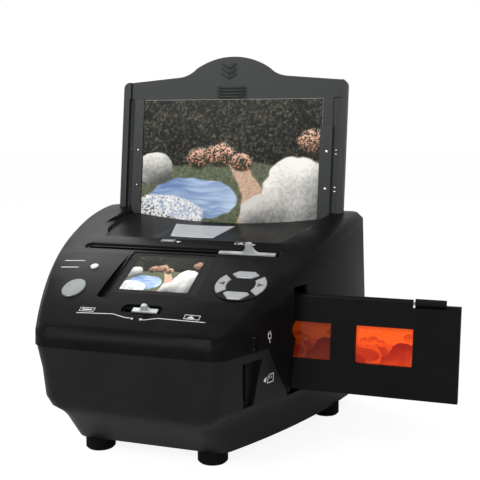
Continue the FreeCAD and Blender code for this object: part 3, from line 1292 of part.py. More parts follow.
def make_focus_slider():
    """Focus knob above the panel, and the blade that it moves across the lens: an open
    eye is on the optical axis at rest, and the close-up lens after the full travel."""
    reach = S.wall + S.slip
    knob = lever_shape(S.focus_strip, S.focus_strip, S.focus_tab_root, S.focus_tab_half,
                       S.focus_tab_high, reach)
    feature("focus_knob", knob, FOCUS)
    plate = placed(shoe(S.blade_half, S.focus_wide / 2), FOCUS)
    front = -S.focus_y - S.blade_thick / 2
    bottom = S.axis_height - S.blade_low
    top = FOCUS.multVec(vec(0, 0, -reach - S.strip_thick)).z
    blade = brick(S.focus_rest - S.blade_half, front, bottom, S.focus_rest + S.blade_half,
                  front + S.blade_thick, top)
    along = vec(0, 1, 0)
    eyes = [Part.makeCylinder(S.closeup_radius, S.blade_thick, vec(x, front, S.axis_height), along)
            for x in (0, S.focus_travel)]
    feature("focus_carriage", plate.fuse(blade).cut(eyes[0]).cut(eyes[1]).removeSplitter())
    lens = Part.makeCylinder(S.closeup_radius - S.pin_fit, S.blade_thick,
                             vec(S.focus_travel, front, S.axis_height), along)
    feature("close_up_lens", lens)


def make_light_slider():
    """Lever above the panel, carriage on its rod, backlight board and diffuser. The
    full travel brings the carriage's middle from the side to the optical axis."""
    reach = S.wall + S.slip
    lever = lever_shape(S.light_strip_left, S.light_strip_right, S.light_tab_root, S.light_tab_tip,
                        S.light_tab_high, reach)
    feature("light_lever", lever, LIGHT)
    x, front = S.light_travel, -S.carriage_front
    rear = front + S.carriage_thick
    low, high = S.light_middle - S.light_high, S.light_middle + S.light_high
    frame = brick(x - S.light_half, front, low, x + S.light_half, rear, high)
    half_x, half_z = S.diffuser_wide / 2 + S.gap / 2, S.diffuser_high / 2 + S.gap / 2
    lip = S.carriage_lip
    window = brick(x - half_x + lip, front, S.light_middle - half_z + lip,
                   x + half_x - lip, rear, S.light_middle + half_z - lip)
    well = brick(x - half_x, front + lip, S.light_middle - half_z, x + half_x, rear, S.light_middle + half_z)
    arm_top = LIGHT.multVec(vec(0, 0, -reach - 2 * S.strip_thick)).z
    arm = brick(x - S.lug_x, front, high, x + S.lug_x, rear, arm_top)
    plate = placed(shoe(S.light_half, S.carriage_thick / 2), panel_frame(x, -S.light_y))
    rod_y = front + S.carriage_thick / 2
    lug_low = S.rod_height - S.rod_radius - S.wall
    lugs = [brick(x + side * S.lug_x - S.lug_thick / 2, front, lug_low,
                  x + side * S.lug_x + S.lug_thick / 2, rear, low) for side in (-1, 1)]
    bore = Part.makeCylinder(S.rod_radius + S.rod_fit, 2 * S.light_half,
                             vec(x - S.light_half, rod_y, S.rod_height), vec(1, 0, 0))
    carriage = frame.cut(window).cut(well).multiFuse([arm, plate] + lugs).cut(bore)
    feature("light_carriage", carriage.removeSplitter())
    rod = Part.makeCylinder(S.rod_radius, S.rod_left + S.rod_right, vec(-S.rod_left, rod_y, S.rod_height),
                            vec(1, 0, 0))
    feature("carriage_rod", rod)
    block("light_diffuser", "light_travel - diffuser_wide / 2", "-carriage_front + carriage_lip",
          "light_middle - diffuser_high / 2", "diffuser_wide", "diffuser_thick", "diffuser_high")
    block("backlight_board", "light_travel - diffuser_wide / 2",
          "-carriage_front + carriage_lip + diffuser_thick", "light_middle - diffuser_high / 2",
          "diffuser_wide", "board_thick", "diffuser_high")


def frustum(half_a, high_a, half_b, high_b, y_a, y_b):
    """A tapered box along Y round the optical axis, with flat faces."""
    z = S.axis_height
    near, far = [[vec(-half, y, z - high), vec(half, y, z - high), vec(half, y, z + high), vec(-half, y, z + high)]
                 for half, high, y in ((half_a, high_a, y_a), (half_b, high_b, y_b))]
    sides = [[near[i], near[i - 1], far[i - 1], far[i]] for i in range(4)]
    faces = [Part.Face(Part.makePolygon(points + [points[0]])) for points in [near, far] + sides]
    solid = Part.Solid(Part.Shell(faces))
    return solid if solid.Volume > 0 else solid.reversed()


def make_camera():
    """Light hood on its legs, sensor board on pillars, lens in its barrel."""
    wall, front, rear = S.hood_wall, -S.hood_front, -S.hood_rear
    hood = frustum(S.hood_front_half, S.hood_front_high, S.hood_rear_half, S.hood_rear_high, front, rear)
    hollow = frustum(S.hood_front_half - wall, S.hood_front_high - wall,
                     S.hood_rear_half - wall, S.hood_rear_high - wall, front, rear)
    plate = brick(-S.sensor_half, front, S.axis_height - S.sensor_high,
                  S.sensor_half, front + S.hood_plate, S.axis_height + S.sensor_high)
    reach = S.sensor_y - S.hood_front
    thin = S.pillar_radius
    pillars = []
    for side in (-1, 1):
        for level in (-1, 1):
            x, z = side * S.pillar_x, S.axis_height + level * S.pillar_high
            pillars.append(brick(x - thin, -S.sensor_y, z - thin, x + thin, -S.sensor_y + reach, z + thin))
    floor = S.foot_height + S.wall
    leg_y = rear - S.leg_side
    legs = [brick(side * S.leg_x - S.leg_side / 2, leg_y, floor, side * S.leg_x + S.leg_side / 2,
                  rear, S.axis_height) for side in (-1, 1)]
    body = hood.multiFuse([plate] + pillars + legs).cut(hollow)
    feature("light_hood", body.removeSplitter())
    half, high = S.sensor_half, S.sensor_high
    board = brick(-half, -S.sensor_y - S.board_thick, S.axis_height - high, half, -S.sensor_y, S.axis_height + high)
    chip = brick(-S.sensor_chip, -S.sensor_y, S.axis_height - S.sensor_chip,
                 S.sensor_chip, -S.sensor_y + S.sensor_chip_thick, S.axis_height + S.sensor_chip)
    feature("sensor_board", board.fuse(chip))
    start = vec(0, -S.sensor_y + S.sensor_chip_thick, S.axis_height)
    along = vec(0, 1, 0)
    barrel = Part.makeCylinder(S.barrel_radius, S.barrel_long, start, along)
    bore = Part.makeCylinder(S.barrel_radius - S.barrel_wall, S.barrel_long, start, along)
    feature("lens_barrel", barrel.cut(bore))
    seat = start + along * (S.barrel_long - S.lens_thick - S.gap)
    feature("lens_element", Part.makeCylinder(S.barrel_radius - S.barrel_wall - S.pin_fit, S.lens_thick, seat, along))


def make_print_light(label, side):
    """A board of lamps on the rear side of a screw post, facing the print."""
    x = side * S.rear_post_x
    y = S.rear_post_y + S.post_radius + S.gap
    half = S.strip_light_wide / 2
    board = brick(x - half, y, S.strip_light_low, x + half, y + S.board_thick, S.strip_light_high)
    count = 6
    pitch = (S.strip_light_high - S.strip_light_low) / count
    lamps = [brick(x - S.led_side / 2, y + S.board_thick, S.strip_light_low + (i + 0.5) * pitch - S.led_side / 2,
                   x + S.led_side / 2, y + S.board_thick + S.led_thick,
                   S.strip_light_low + (i + 0.5) * pitch + S.led_side / 2) for i in range(count)]
    return feature(label, board.multiFuse(lamps).removeSplitter())


def make_sockets():
    """Main board behind the right wall, with its card socket and USB socket."""
    face = -S.recess_depth - S.wall - S.card_socket_thick
    half = S.main_board_wide / 2
    feature("main_board", brick(face - S.board_thick, -half, S.main_board_low, face, half, S.main_board_high), SOCKETS)
    high = S.card_high / 2 + S.gap
    body = brick(face, -S.card_socket_deep / 2, S.card_middle - high,
                 face + S.card_socket_thick - S.gap, S.card_socket_deep / 2, S.card_middle + high)
    mouth = brick(face + S.board_thick, -S.card_wide / 2, S.card_middle - S.card_high / 2,
                  face + S.card_socket_thick, S.card_wide / 2, S.card_middle + S.card_high / 2)
    feature("card_socket", body.cut(mouth), SOCKETS)
    wide, tall = S.usb_wide / 2, S.usb_high / 2
    shell = brick(face, -wide, S.usb_height - tall, -S.strip_thick, wide, S.usb_height + tall)
    thin = S.strip_thick / 2
    mouth = brick(-S.overrun, -wide + thin, S.usb_height - tall + thin, 0, wide - thin, S.usb_height + tall - thin)
    feature("usb_socket", shell.cut(mouth), SOCKETS)


def build():
    make_upper_cover()
    make_lower_base()
    for label, x, y in foot_places():
        make_foot(label, x, y)
    make_casing_screws()
    make_tray_frame()
    for name, side in SIDES:
        make_photo_guide("photo_guide_" + name, side)
        tray_rail("tray_rail_" + name, side)
        make_print_light("print_light_" + name, side)
    make_photo_print()
    make_holder_base()
    make_holder_lid()
    make_holder_pin()
    for number in (1, 2, 3):
        place = "(slide_first + %d * slide_pitch)" % (number - 1)
        make_slide_mount("slide_mount_%d" % number, place)
        make_film_chip("film_chip_%d" % number, place)
    film_rail("film_rail_upper", S.tab_high, 1)
    film_rail("film_rail_lower", -S.holder_low, -1)
    make_display_window()
    make_display_module()
    make_control_board()
    make_tact_switches()
    make_scan_button()
    make_keypad_disc()
    for label, turn in KEYS:
        make_key(label, turn)
    make_indicator()
    make_focus_slider()
    make_light_slider()
    make_camera()
    make_sockets()


def sub_parts():
    """The sub-parts: bodies, and the shapes and blocks that stand by themselves."""
    kinds = ("PartDesign::Body", "Part::Feature", "Part::Box")
    return [o for o in doc.Objects if o.TypeId in kinds]


def check_and_write():
    """Check every object, then write each sub-part to its own file."""
    doc.recompute()
    for item in doc.Objects:
        if "Invalid" in item.State or "Error" in item.State:
            raise RuntimeError("failed object: " + item.Label)
    for part in sub_parts():
        if part.Shape.isNull() or not part.Shape.isValid() or not part.Shape.Solids:
            raise RuntimeError("bad shape: " + part.Label)
    os.makedirs("parts", exist_ok=True)
    for part in sub_parts():
        part.Shape.exportStep("parts/%s.step" % part.Label)
        print("%-20s %2d solids %9.0f mm3" % (part.Label, len(part.Shape.Solids), part.Shape.Volume))


build()
check_and_write()
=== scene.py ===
# %% [markdown]
# # A desktop scanner for prints, slides and film
#
# The real object is a black moulded housing with a sloping control panel. A print stands in a tray
# that slides out of the top, and a hinged holder with slides or film is pushed through a slot in the
# side. The CAD model is loaded first and stays as it is: this file gives it light, a camera, real
# materials, and the thin things that CAD leaves out, such as printed marks, pictures and reliefs.

# %% Load the frame
import math

import bpy
import json
import numpy as np
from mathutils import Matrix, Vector

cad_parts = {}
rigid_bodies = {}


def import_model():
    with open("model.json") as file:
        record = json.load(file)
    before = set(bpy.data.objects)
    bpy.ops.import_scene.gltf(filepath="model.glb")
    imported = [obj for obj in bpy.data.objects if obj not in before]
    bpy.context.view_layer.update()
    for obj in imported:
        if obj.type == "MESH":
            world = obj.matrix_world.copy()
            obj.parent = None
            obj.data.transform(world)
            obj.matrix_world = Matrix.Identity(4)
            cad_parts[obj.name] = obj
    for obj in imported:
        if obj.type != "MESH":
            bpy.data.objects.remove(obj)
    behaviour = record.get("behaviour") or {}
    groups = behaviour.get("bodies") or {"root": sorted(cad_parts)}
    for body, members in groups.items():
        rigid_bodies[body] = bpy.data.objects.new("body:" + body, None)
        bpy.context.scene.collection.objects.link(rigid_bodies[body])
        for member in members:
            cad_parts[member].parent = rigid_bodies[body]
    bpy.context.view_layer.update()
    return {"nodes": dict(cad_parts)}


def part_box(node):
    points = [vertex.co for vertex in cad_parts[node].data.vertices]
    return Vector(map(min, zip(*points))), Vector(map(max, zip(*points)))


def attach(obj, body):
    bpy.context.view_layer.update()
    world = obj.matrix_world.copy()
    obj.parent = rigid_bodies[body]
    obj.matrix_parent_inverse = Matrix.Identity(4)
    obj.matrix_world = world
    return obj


for spare in list(bpy.data.objects):
    bpy.data.objects.remove(spare)
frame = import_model()
nodes = frame["nodes"]

# %% [markdown]
# ## Camera
#
# The photograph was taken from close by, a little above the panel and to the right. The lens and the
# place were found by matching the housing's corners, the tray's edges and the film windows, so the
# near corner comes forward as it does in the picture. A long lens from further away would have been
# easier to place, but it would flatten the slope of the panel.

# %% Camera
CAMERA_AT = Vector((0.2217, -0.548, 0.2154))
CAMERA_LOOKS_AT = Vector((0.04275, -0.0069, 0.1394))
LENS_MM, SENSOR_MM = 62.55, 36.0
NEAREST_SEEN = 0.01

lens = bpy.data.cameras.new("photo_lens")
lens.lens = LENS_MM
lens.sensor_width = SENSOR_MM
lens.clip_start = NEAREST_SEEN
camera = bpy.data.objects.new("photo_camera", lens)
bpy.context.scene.collection.objects.link(camera)
camera.location = CAMERA_AT
camera.rotation_euler = (CAMERA_LOOKS_AT - CAMERA_AT).to_track_quat("-Z", "Y").to_euler()
bpy.context.scene.camera = camera
print("camera distance:", round((CAMERA_LOOKS_AT - CAMERA_AT).length, 3))

# %% [markdown]
# ## Helpers for materials
#
# Colours are written as the sRGB hex values that one would read off a swatch, and Blender wants
# linear light, so one function turns them. A second one adds a shader node with its settings and
# links: every material below is a short list of such calls, from the texture to the shader.


# %% Colour and node helpers
def linear(swatch):
    """sRGB hex to linear: c/12.92 below 0.04045, else ((c + 0.055)/1.055) to the power 2.4."""
    parts = [int(swatch[i:i + 2], 16) / 255 for i in (0, 2, 4)]
    return [c / 12.92 if c <= 0.04045 else ((c + 0.055) / 1.055) ** 2.4 for c in parts] + [1.0]


def add(tree, kind, inputs=None, **settings):
    """Adds one node. inputs maps a socket's name or number to a value, or to the socket that feeds it."""
    node = tree.nodes.new(kind)
    for name, value in settings.items():
        setattr(node, name, value)
    for socket, value in (inputs or {}).items():
        if isinstance(value, bpy.types.NodeSocket):
            tree.links.new(value, node.inputs[socket])
        else:
            node.inputs[socket].default_value = value
    return node


def new_material(name, swatch, roughness, metallic=0.0, **sockets):
    """A Principled material with its plain values set on its own sockets, and its tree."""
    made = bpy.data.materials.new(name)
    made.use_nodes = True
    made.diffuse_color = linear(swatch)
    tree = made.node_tree
    shader = tree.nodes["Principled BSDF"]
    shader.inputs["Base Color"].default_value = linear(swatch)
    shader.inputs["Roughness"].default_value = roughness
    shader.inputs["Metallic"].default_value = metallic
    for socket, value in sockets.items():
        shader.inputs[socket.replace("_", " ")].default_value = value
    return made, tree, shader


NOISE_LOW, NOISE_HIGH = 0.3, 0.7


def grained(name, dark, light, roughness, spread, grain_mm, depth_mm, metallic=0.0, cloud_mm=28.0, shine=0.5):
    """Moulded or painted surface: a fine grain in the bump, and slow clouds in colour and gloss.

    colour = dark..light over clouds of cloud_mm, from NOISE_LOW to NOISE_HIGH, where most of the
    noise lies; roughness = roughness +- spread/2 over the same clouds; bump height = depth_mm x
    noise with cells of grain_mm."""
    made, tree, shader = new_material(name, dark, roughness, metallic, Specular_IOR_Level=shine)
    place = add(tree, "ShaderNodeTexCoord").outputs["Object"]
    clouds = add(tree, "ShaderNodeTexNoise", {"Vector": place, "Scale": 1000 / cloud_mm, "Detail": 3.0})
    tint = add(tree, "ShaderNodeValToRGB", {"Fac": clouds.outputs["Fac"]})
    for stop, position, swatch in zip(tint.color_ramp.elements, (NOISE_LOW, NOISE_HIGH), (dark, light)):
        stop.position = position
        stop.color = linear(swatch)
    tree.links.new(tint.outputs["Color"], shader.inputs["Base Color"])
    gloss = add(tree, "ShaderNodeMapRange", {
        "Value": clouds.outputs["Fac"], "From Min": NOISE_LOW, "From Max": NOISE_HIGH,
        "To Min": roughness - spread / 2, "To Max": roughness + spread / 2,
    })
    tree.links.new(gloss.outputs["Result"], shader.inputs["Roughness"])
    grain = add(tree, "ShaderNodeTexNoise", {"Vector": place, "Scale": 1000 / grain_mm, "Detail": 2.0})
    bump = add(tree, "ShaderNodeBump", {
        "Height": grain.outputs["Fac"], "Distance": depth_mm / 1000, "Strength": 1.0,
    })
    tree.links.new(bump.outputs["Normal"], shader.inputs["Normal"])
    return made


print("helpers ready")

# %% [markdown]
# ## Materials
#
# The housing is moulded ABS with a spark-eroded, satin surface: the grain of a real one is about
# 0.1 mm, too fine for this picture, so it is drawn at 0.5 mm and very shallow. The tray is the same
# plastic with a duller, greyer face, and the holder's is darker. Keys and levers are ABS sprayed
# with silver lacquer, whose flakes give a fine, bright grain. The rest is what such a scanner has
# inside: nickel-plated steel, glass-fibre board with green solder resist, glass lenses and opal
# acrylic.

# %% Plastics
# After the two colours come roughness, its spread, the grain in mm and the grain's depth in mm. The
# lacquers go on with how metallic they are and the size of their clouds in mm.
cover_abs = grained("moulded_abs_satin_cover", "0b0b0c", "111112", 0.36, 0.06, 0.5, 0.008, shine=0.035)
base_abs = grained("moulded_abs_satin_base", "141615", "1a1c1b", 0.42, 0.06, 0.5, 0.010, shine=0.09)
tray_abs = grained("moulded_abs_tray_grey", "232625", "2b2e2d", 0.55, 0.06, 0.45, 0.008, shine=0.3)
guide_abs = grained("moulded_abs_smooth_black", "1a1c1c", "212323", 0.42, 0.06, 0.45, 0.005, shine=0.3)
holder_abs = grained("moulded_abs_film_holder", "08090a", "0c0d0e", 0.42, 0.06, 0.4, 0.008, shine=0.07)
inner_abs = grained("moulded_abs_inside_black", "0d0d0e", "121213", 0.6, 0.06, 0.6, 0.01, shine=0.2)
rail_acetal = grained("acetal_slide_rail", "161717", "1b1c1c", 0.4, 0.05, 0.8, 0.004, shine=0.3)
foot_rubber = grained("rubber_foot", "050505", "080808", 0.75, 0.1, 0.7, 0.03, shine=0.08)
silver_lacquer = grained("silver_lacquer_on_abs", "b9bcbd", "c9cccd", 0.34, 0.06, 0.25, 0.004, 0.35, 9.0)
scan_lacquer = grained("silver_lacquer_round_button", "69706d", "7a817e", 0.36, 0.06, 0.25, 0.003, 0.35, 6.0)
silver_key = grained("silver_lacquer_key", "8d9092", "9c9ea0", 0.38, 0.06, 0.25, 0.003, 0.15, 6.0)
mount_plastic = grained("polystyrene_slide_mount", "131415", "191a1b", 0.48, 0.06, 0.5, 0.006, shine=0.3)
print("plastics ready, from", cover_abs.name, "to", mount_plastic.name)

# %% Metals, board, glass
plated_steel = grained("nickel_plated_steel", "a8a9a6", "b8b9b6", 0.24, 0.08, 1.6, 0.002, 1.0, 14.0)
pin_steel = grained("stainless_hinge_pin", "8e9193", "9c9fa1", 0.26, 0.06, 0.6, 0.002, 1.0, 10.0)
solder_resist = grained("green_solder_resist", "12452c", "1b5a3a", 0.32, 0.1, 1.2, 0.010, 0.0, 5.0)
switch_plastic = grained("phenolic_switch_body", "232323", "2e2d2b", 0.5, 0.08, 0.6, 0.004)
opal_acrylic = grained("opal_acrylic_diffuser", "eceeea", "f4f5f2", 0.42, 0.06, 0.6, 0.003)
paper_back = grained("photo_paper_base", "e8e6df", "f1efe9", 0.36, 0.06, 0.35, 0.003)
aluminium_plate = grained("satin_aluminium_plate", "c8cac9", "d6d8d6", 0.42, 0.06, 0.3, 0.002, 0.25, 12.0)
screen_ink = grained("white_pad_printing_ink", "d6d7d5", "e3e4e2", 0.5, 0.06, 0.3, 0.002)
border_ink = grained("black_screen_border", "060607", "09090a", 0.3, 0.03, 2.0, 0.001, shine=0.1)
key_ink = grained("grey_key_ink", "3a3b3d", "45464a", 0.5, 0.05, 0.3, 0.002)

# Real acrylic has an IOR of 1.49. Near 1, the pale studio doesn't veil the display behind it.
FAINT_IOR = 1.08
optical_glass, _, _ = new_material("optical_glass_lens", "f3f7f8", 0.02, Transmission_Weight=1.0, IOR=1.52)
clear_acrylic, _, _ = new_material("clear_acrylic_window", "fafbfb", 0.0, Transmission_Weight=1.0,
                                   IOR=FAINT_IOR)
lamp_lens, _, _ = new_material("frosted_indicator_lens", "dfe3e4", 0.28, Transmission_Weight=0.35, IOR=1.49)
print("materials:", len(bpy.data.materials))

# %% [markdown]
# ## Finishing the CAD nodes
#
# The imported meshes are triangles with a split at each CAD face. Weld joins the doubles, and Edge
# Split opens the shading again wherever two faces meet by more than 32 degrees, so the ruled sides
# of the housing shade as one moulding while real edges stay crisp. The cover's rim is bevelled by 45
# degrees and looks moulded only if it shades as one with the panel, so there the limit is 48, and
# Weighted Normal lets its large faces lead. All are modifiers: the CAD mesh is never changed.

# %% Materials and smooth shading on the CAD nodes
FINISHES = {
    "upper_cover": cover_abs, "lower_base": base_abs, "tray_frame": tray_abs,
    "foot_front_left": foot_rubber, "foot_front_right": foot_rubber,
    "foot_rear_left": foot_rubber, "foot_rear_right": foot_rubber,
    "casing_screws": plated_steel, "photo_guide_left": guide_abs, "photo_guide_right": guide_abs,
    "photo_print": paper_back, "tray_rail_left": rail_acetal, "tray_rail_right": rail_acetal,
    "print_light_left": opal_acrylic, "print_light_right": opal_acrylic,
    "holder_base": holder_abs, "holder_lid": holder_abs, "holder_pin": pin_steel,
    "slide_mount_1": mount_plastic, "slide_mount_2": mount_plastic, "slide_mount_3": mount_plastic,
    "film_rail_upper": rail_acetal, "film_rail_lower": rail_acetal,
    "lcd_window": clear_acrylic, "lcd_module": inner_abs, "control_board": solder_resist,
    "tact_switches": switch_plastic, "scan_button": scan_lacquer, "keypad_disc": cover_abs,
    "mode_button": silver_key, "left_button": silver_key, "enter_button": silver_key,
    "right_button": silver_key, "indicator_lens": lamp_lens, "indicator_led": opal_acrylic,
    "focus_knob": silver_lacquer, "focus_carriage": inner_abs, "close_up_lens": optical_glass,
    "light_lever": silver_lacquer, "light_carriage": inner_abs, "carriage_rod": plated_steel,
    "light_diffuser": opal_acrylic, "backlight_board": solder_resist, "light_hood": inner_abs,
    "sensor_board": solder_resist, "lens_barrel": inner_abs, "lens_element": optical_glass,
    "main_board": solder_resist, "card_socket": plated_steel, "usb_socket": plated_steel,
}
WELD_GAP = 0.01
CREASE = math.radians(32)
COVER_CREASE = math.radians(48)


def finish_node(node, finish, crease=CREASE):
    """One material on the whole node, and smooth shading up to the crease angle.

    Points closer than WELD_GAP millimetres become one."""
    node.data.materials.clear()
    node.data.materials.append(finish)
    node.data.polygons.foreach_set("use_smooth", np.ones(len(node.data.polygons), dtype=bool))
    weld = node.modifiers.new("join_doubles", "WELD")
    weld.merge_threshold = WELD_GAP / 1000
    split = node.modifiers.new("crisp_edges", "EDGE_SPLIT")
    split.split_angle = crease


for name, finish in FINISHES.items():
    finish_node(nodes[name], finish, COVER_CREASE if name == "upper_cover" else CREASE)
even = nodes["upper_cover"].modifiers.new("large_faces_lead", "WEIGHTED_NORMAL")
even.weight = 100
print("left as packed:", sorted(set(nodes) - set(FINISHES)))

# %% [markdown]
# ## The scanner's own directions
#
# Three parts lean: the tray and the holder by 7.3 degrees, and the display by 26. A thin piece on
# one of them is easiest to think of in that part's own directions, so each gets a small function
# that turns (across, out, up) in millimetres into a point in metres.

# %% Leaning frames
LEAN = math.radians(7.3)
SLOPE = math.radians(26.0)
TRAY_AT = (0.0, 86.4, 150.0)
HOLDER_AT = (0.0, -29.8, 80.0)
DISPLAY_AT = (-1.65, -41.5, 117.6)


def leaning(origin, x, y, w):
    """origin + x across + y to the rear, square to the leaning plane + w up the lean, in metres."""
    x, y, w = np.broadcast_arrays(x, y, w)
    return np.stack([
        origin[0] + x,
        origin[1] + y * math.cos(LEAN) + w * math.sin(LEAN),
        origin[2] - y * math.sin(LEAN) + w * math.cos(LEAN),
    ], axis=-1) / 1000


def on_tray(x, y, w):
    """A point of the photo tray: y = 0 is its front face."""
    return leaning(TRAY_AT, x, y, w)


def on_holder(x, y, w):
    """A point of the film holder: y = 0 is the lid's front face."""
    return leaning(HOLDER_AT, x, y, w)


def on_display(x, v, out):
    """A point of the display: x across, v up the slope, out square to it."""
    x, v, out = np.broadcast_arrays(x, v, out)
    return np.stack([
        DISPLAY_AT[0] + x,
        DISPLAY_AT[1] + v * math.cos(SLOPE) - out * math.sin(SLOPE),
        DISPLAY_AT[2] + v * math.sin(SLOPE) + out * math.cos(SLOPE),
    ], axis=-1) / 1000


print("tray origin:", on_tray(0.0, 0.0, 0.0).round(4))


# %% [markdown]
# ## Surfaces from arrays
#
# A new piece is a grid of points worked out at once with numpy and handed to the mesh in one go.
# Row i and column j of the grid become quads (i, j), (i, j+1), (i+1, j+1), (i+1, j). This is quick
# even for the pictures, which have tens of thousands of points, and there is no loop to get wrong.


# %% Grid and piece helpers
def unit_grid(columns, rows):
    """Two arrays, across and up, that run from 0 to 1 over a grid of points."""
    return np.meshgrid(np.linspace(0, 1, columns), np.linspace(0, 1, rows))


def grid_faces(rows, columns, flip=False):
    """Quads between neighbouring rows and columns; flip turns them round."""
    corner = (np.arange(rows - 1)[:, None] * columns + np.arange(columns - 1)[None, :]).ravel()
    quads = np.stack([corner, corner + 1, corner + columns + 1, corner + columns], axis=1)
    return quads[:, ::-1] if flip else quads


def make_piece(name, points, quads, finish, body):
    """A mesh object from points (n, 3) and quads (m, 4), riding on a body."""
    mesh = bpy.data.meshes.new(name)
    points = np.asarray(points, dtype=np.float32).reshape(-1, 3)
    quads = np.asarray(quads, dtype=np.int32)
    mesh.vertices.add(len(points))
    mesh.vertices.foreach_set("co", points.ravel())
    mesh.loops.add(quads.size)
    mesh.loops.foreach_set("vertex_index", quads.ravel())
    mesh.polygons.add(len(quads))
    mesh.polygons.foreach_set("loop_start", np.arange(0, quads.size, 4, dtype=np.int32))
    mesh.update(calc_edges=True)
    mesh.validate()
    mesh.materials.append(finish)
    piece = bpy.data.objects.new(name, mesh)
    bpy.context.scene.collection.objects.link(piece)
    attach(piece, body)
    return piece


def grid_piece(name, points, finish, body, flip=False):
    """A piece whose points (rows, columns, 3) are one grid."""
    rows, columns = points.shape[:2]
    return make_piece(name, points, grid_faces(rows, columns, flip), finish, body)


print("surface helpers ready")


# %% [markdown]
# ## A picture without a picture file
#
# The print and the display need a photograph of something. A generic garden is painted here with
# arithmetic: a dark leafy hedge, pale boulders, a pond under a light sky, a bed of white daisies
# and flowering shrubs. Value noise, which is random numbers on a coarse grid with smooth steps
# between them, gives leaves, ripples and stone. The colour of each grid point is kept as a colour
# attribute, so the picture is part of the mesh and goes with it into any export.


# %% Value noise and soft shapes
def value_noise(u, v, across, up, seed):
    """Random lattice values, joined by the smooth step 3t^2 - 2t^3 along u and v. Result 0..1."""
    lattice = np.random.default_rng(seed).random((up + 2, across + 2))
    x, y = u * across, v * up
    i, j = np.clip(x.astype(int), 0, across), np.clip(y.astype(int), 0, up)
    s, t = x - i, y - j
    s, t = s * s * (3 - 2 * s), t * t * (3 - 2 * t)
    low = lattice[j, i] * (1 - s) + lattice[j, i + 1] * s
    high = lattice[j + 1, i] * (1 - s) + lattice[j + 1, i + 1] * s
    return low * (1 - t) + high * t


def cover(picture, mask, colour):
    """picture x (1 - mask) + colour x mask, where mask runs from 0 to 1."""
    mask = np.clip(mask, 0, 1)[..., None]
    return picture * (1 - mask) + colour * mask


def soft_oval(u, v, centre, size, edge):
    """1 inside the ellipse ((u-a)/w)^2 + ((v-b)/h)^2 = 1, 0 outside, with a soft edge."""
    far = np.sqrt(((u - centre[0]) / size[0]) ** 2 + ((v - centre[1]) / size[1]) ** 2)
    return np.clip((1 - far) / edge + 0.5, 0, 1)


def shade(noise, dark, light):
    """Mixes two sRGB colours by noise, which gives the mottling of a natural surface."""
    dark, light = np.array(dark), np.array(light)
    return dark + (light - dark) * np.clip(noise, 0, 1)[..., None]


print("picture helpers ready")

# %% The garden
# Cells across, cells up and seed of each noise.
FINE, LEAFY, SLOW, RIPPLES = (170, 120, 3), (90, 60, 5), (9, 6, 7), (14, 70, 17)
SWAY_ACROSS, SWAY_UP = (26, 18, 11), (24, 17, 13)

# The dark and the light colour of each thing, as sRGB from 0 to 1.
HEDGE = (0.07, 0.07, 0.06), (0.38, 0.37, 0.32)
LAWN = (0.24, 0.27, 0.20), (0.50, 0.52, 0.42)
PATH = (0.70, 0.56, 0.47), (0.86, 0.74, 0.66)
WATER = (0.42, 0.52, 0.70), (0.84, 0.90, 0.97)
DAISIES = (0.72, 0.72, 0.75), (1.0, 1.0, 0.99)
BUSH = (0.13, 0.15, 0.10), (0.42, 0.46, 0.32)
BLOSSOM = (0.62, 0.36, 0.30), (0.97, 0.80, 0.72)

# Places, half sizes and how soft an edge is, in shares of the picture. A stone's brightness is last.
LAWN_TOP, LAWN_EDGE = 0.50, 0.02
PATH_TOP, PATH_MIDDLE, PATH_EDGE = 0.49, 0.56, 0.012
POND = (0.30, 0.20), (0.25, 0.17), 0.06
BED = (0.12, 0.06), (0.24, 0.17), 0.08
STONE_EDGE, SHRUB_EDGE = 0.05, 0.25
STONES = (
    ((0.88, 0.25), (0.19, 0.30), 0.96),
    ((0.70, 0.10), (0.13, 0.15), 0.84),
    ((0.07, 0.44), (0.11, 0.13), 0.90),
)
SHRUBS = (
    ((0.33, 0.53), (0.075, 0.085)),
    ((0.45, 0.55), (0.085, 0.095)),
    ((0.57, 0.50), (0.06, 0.07)),
    ((0.97, 0.66), (0.10, 0.10)),
)


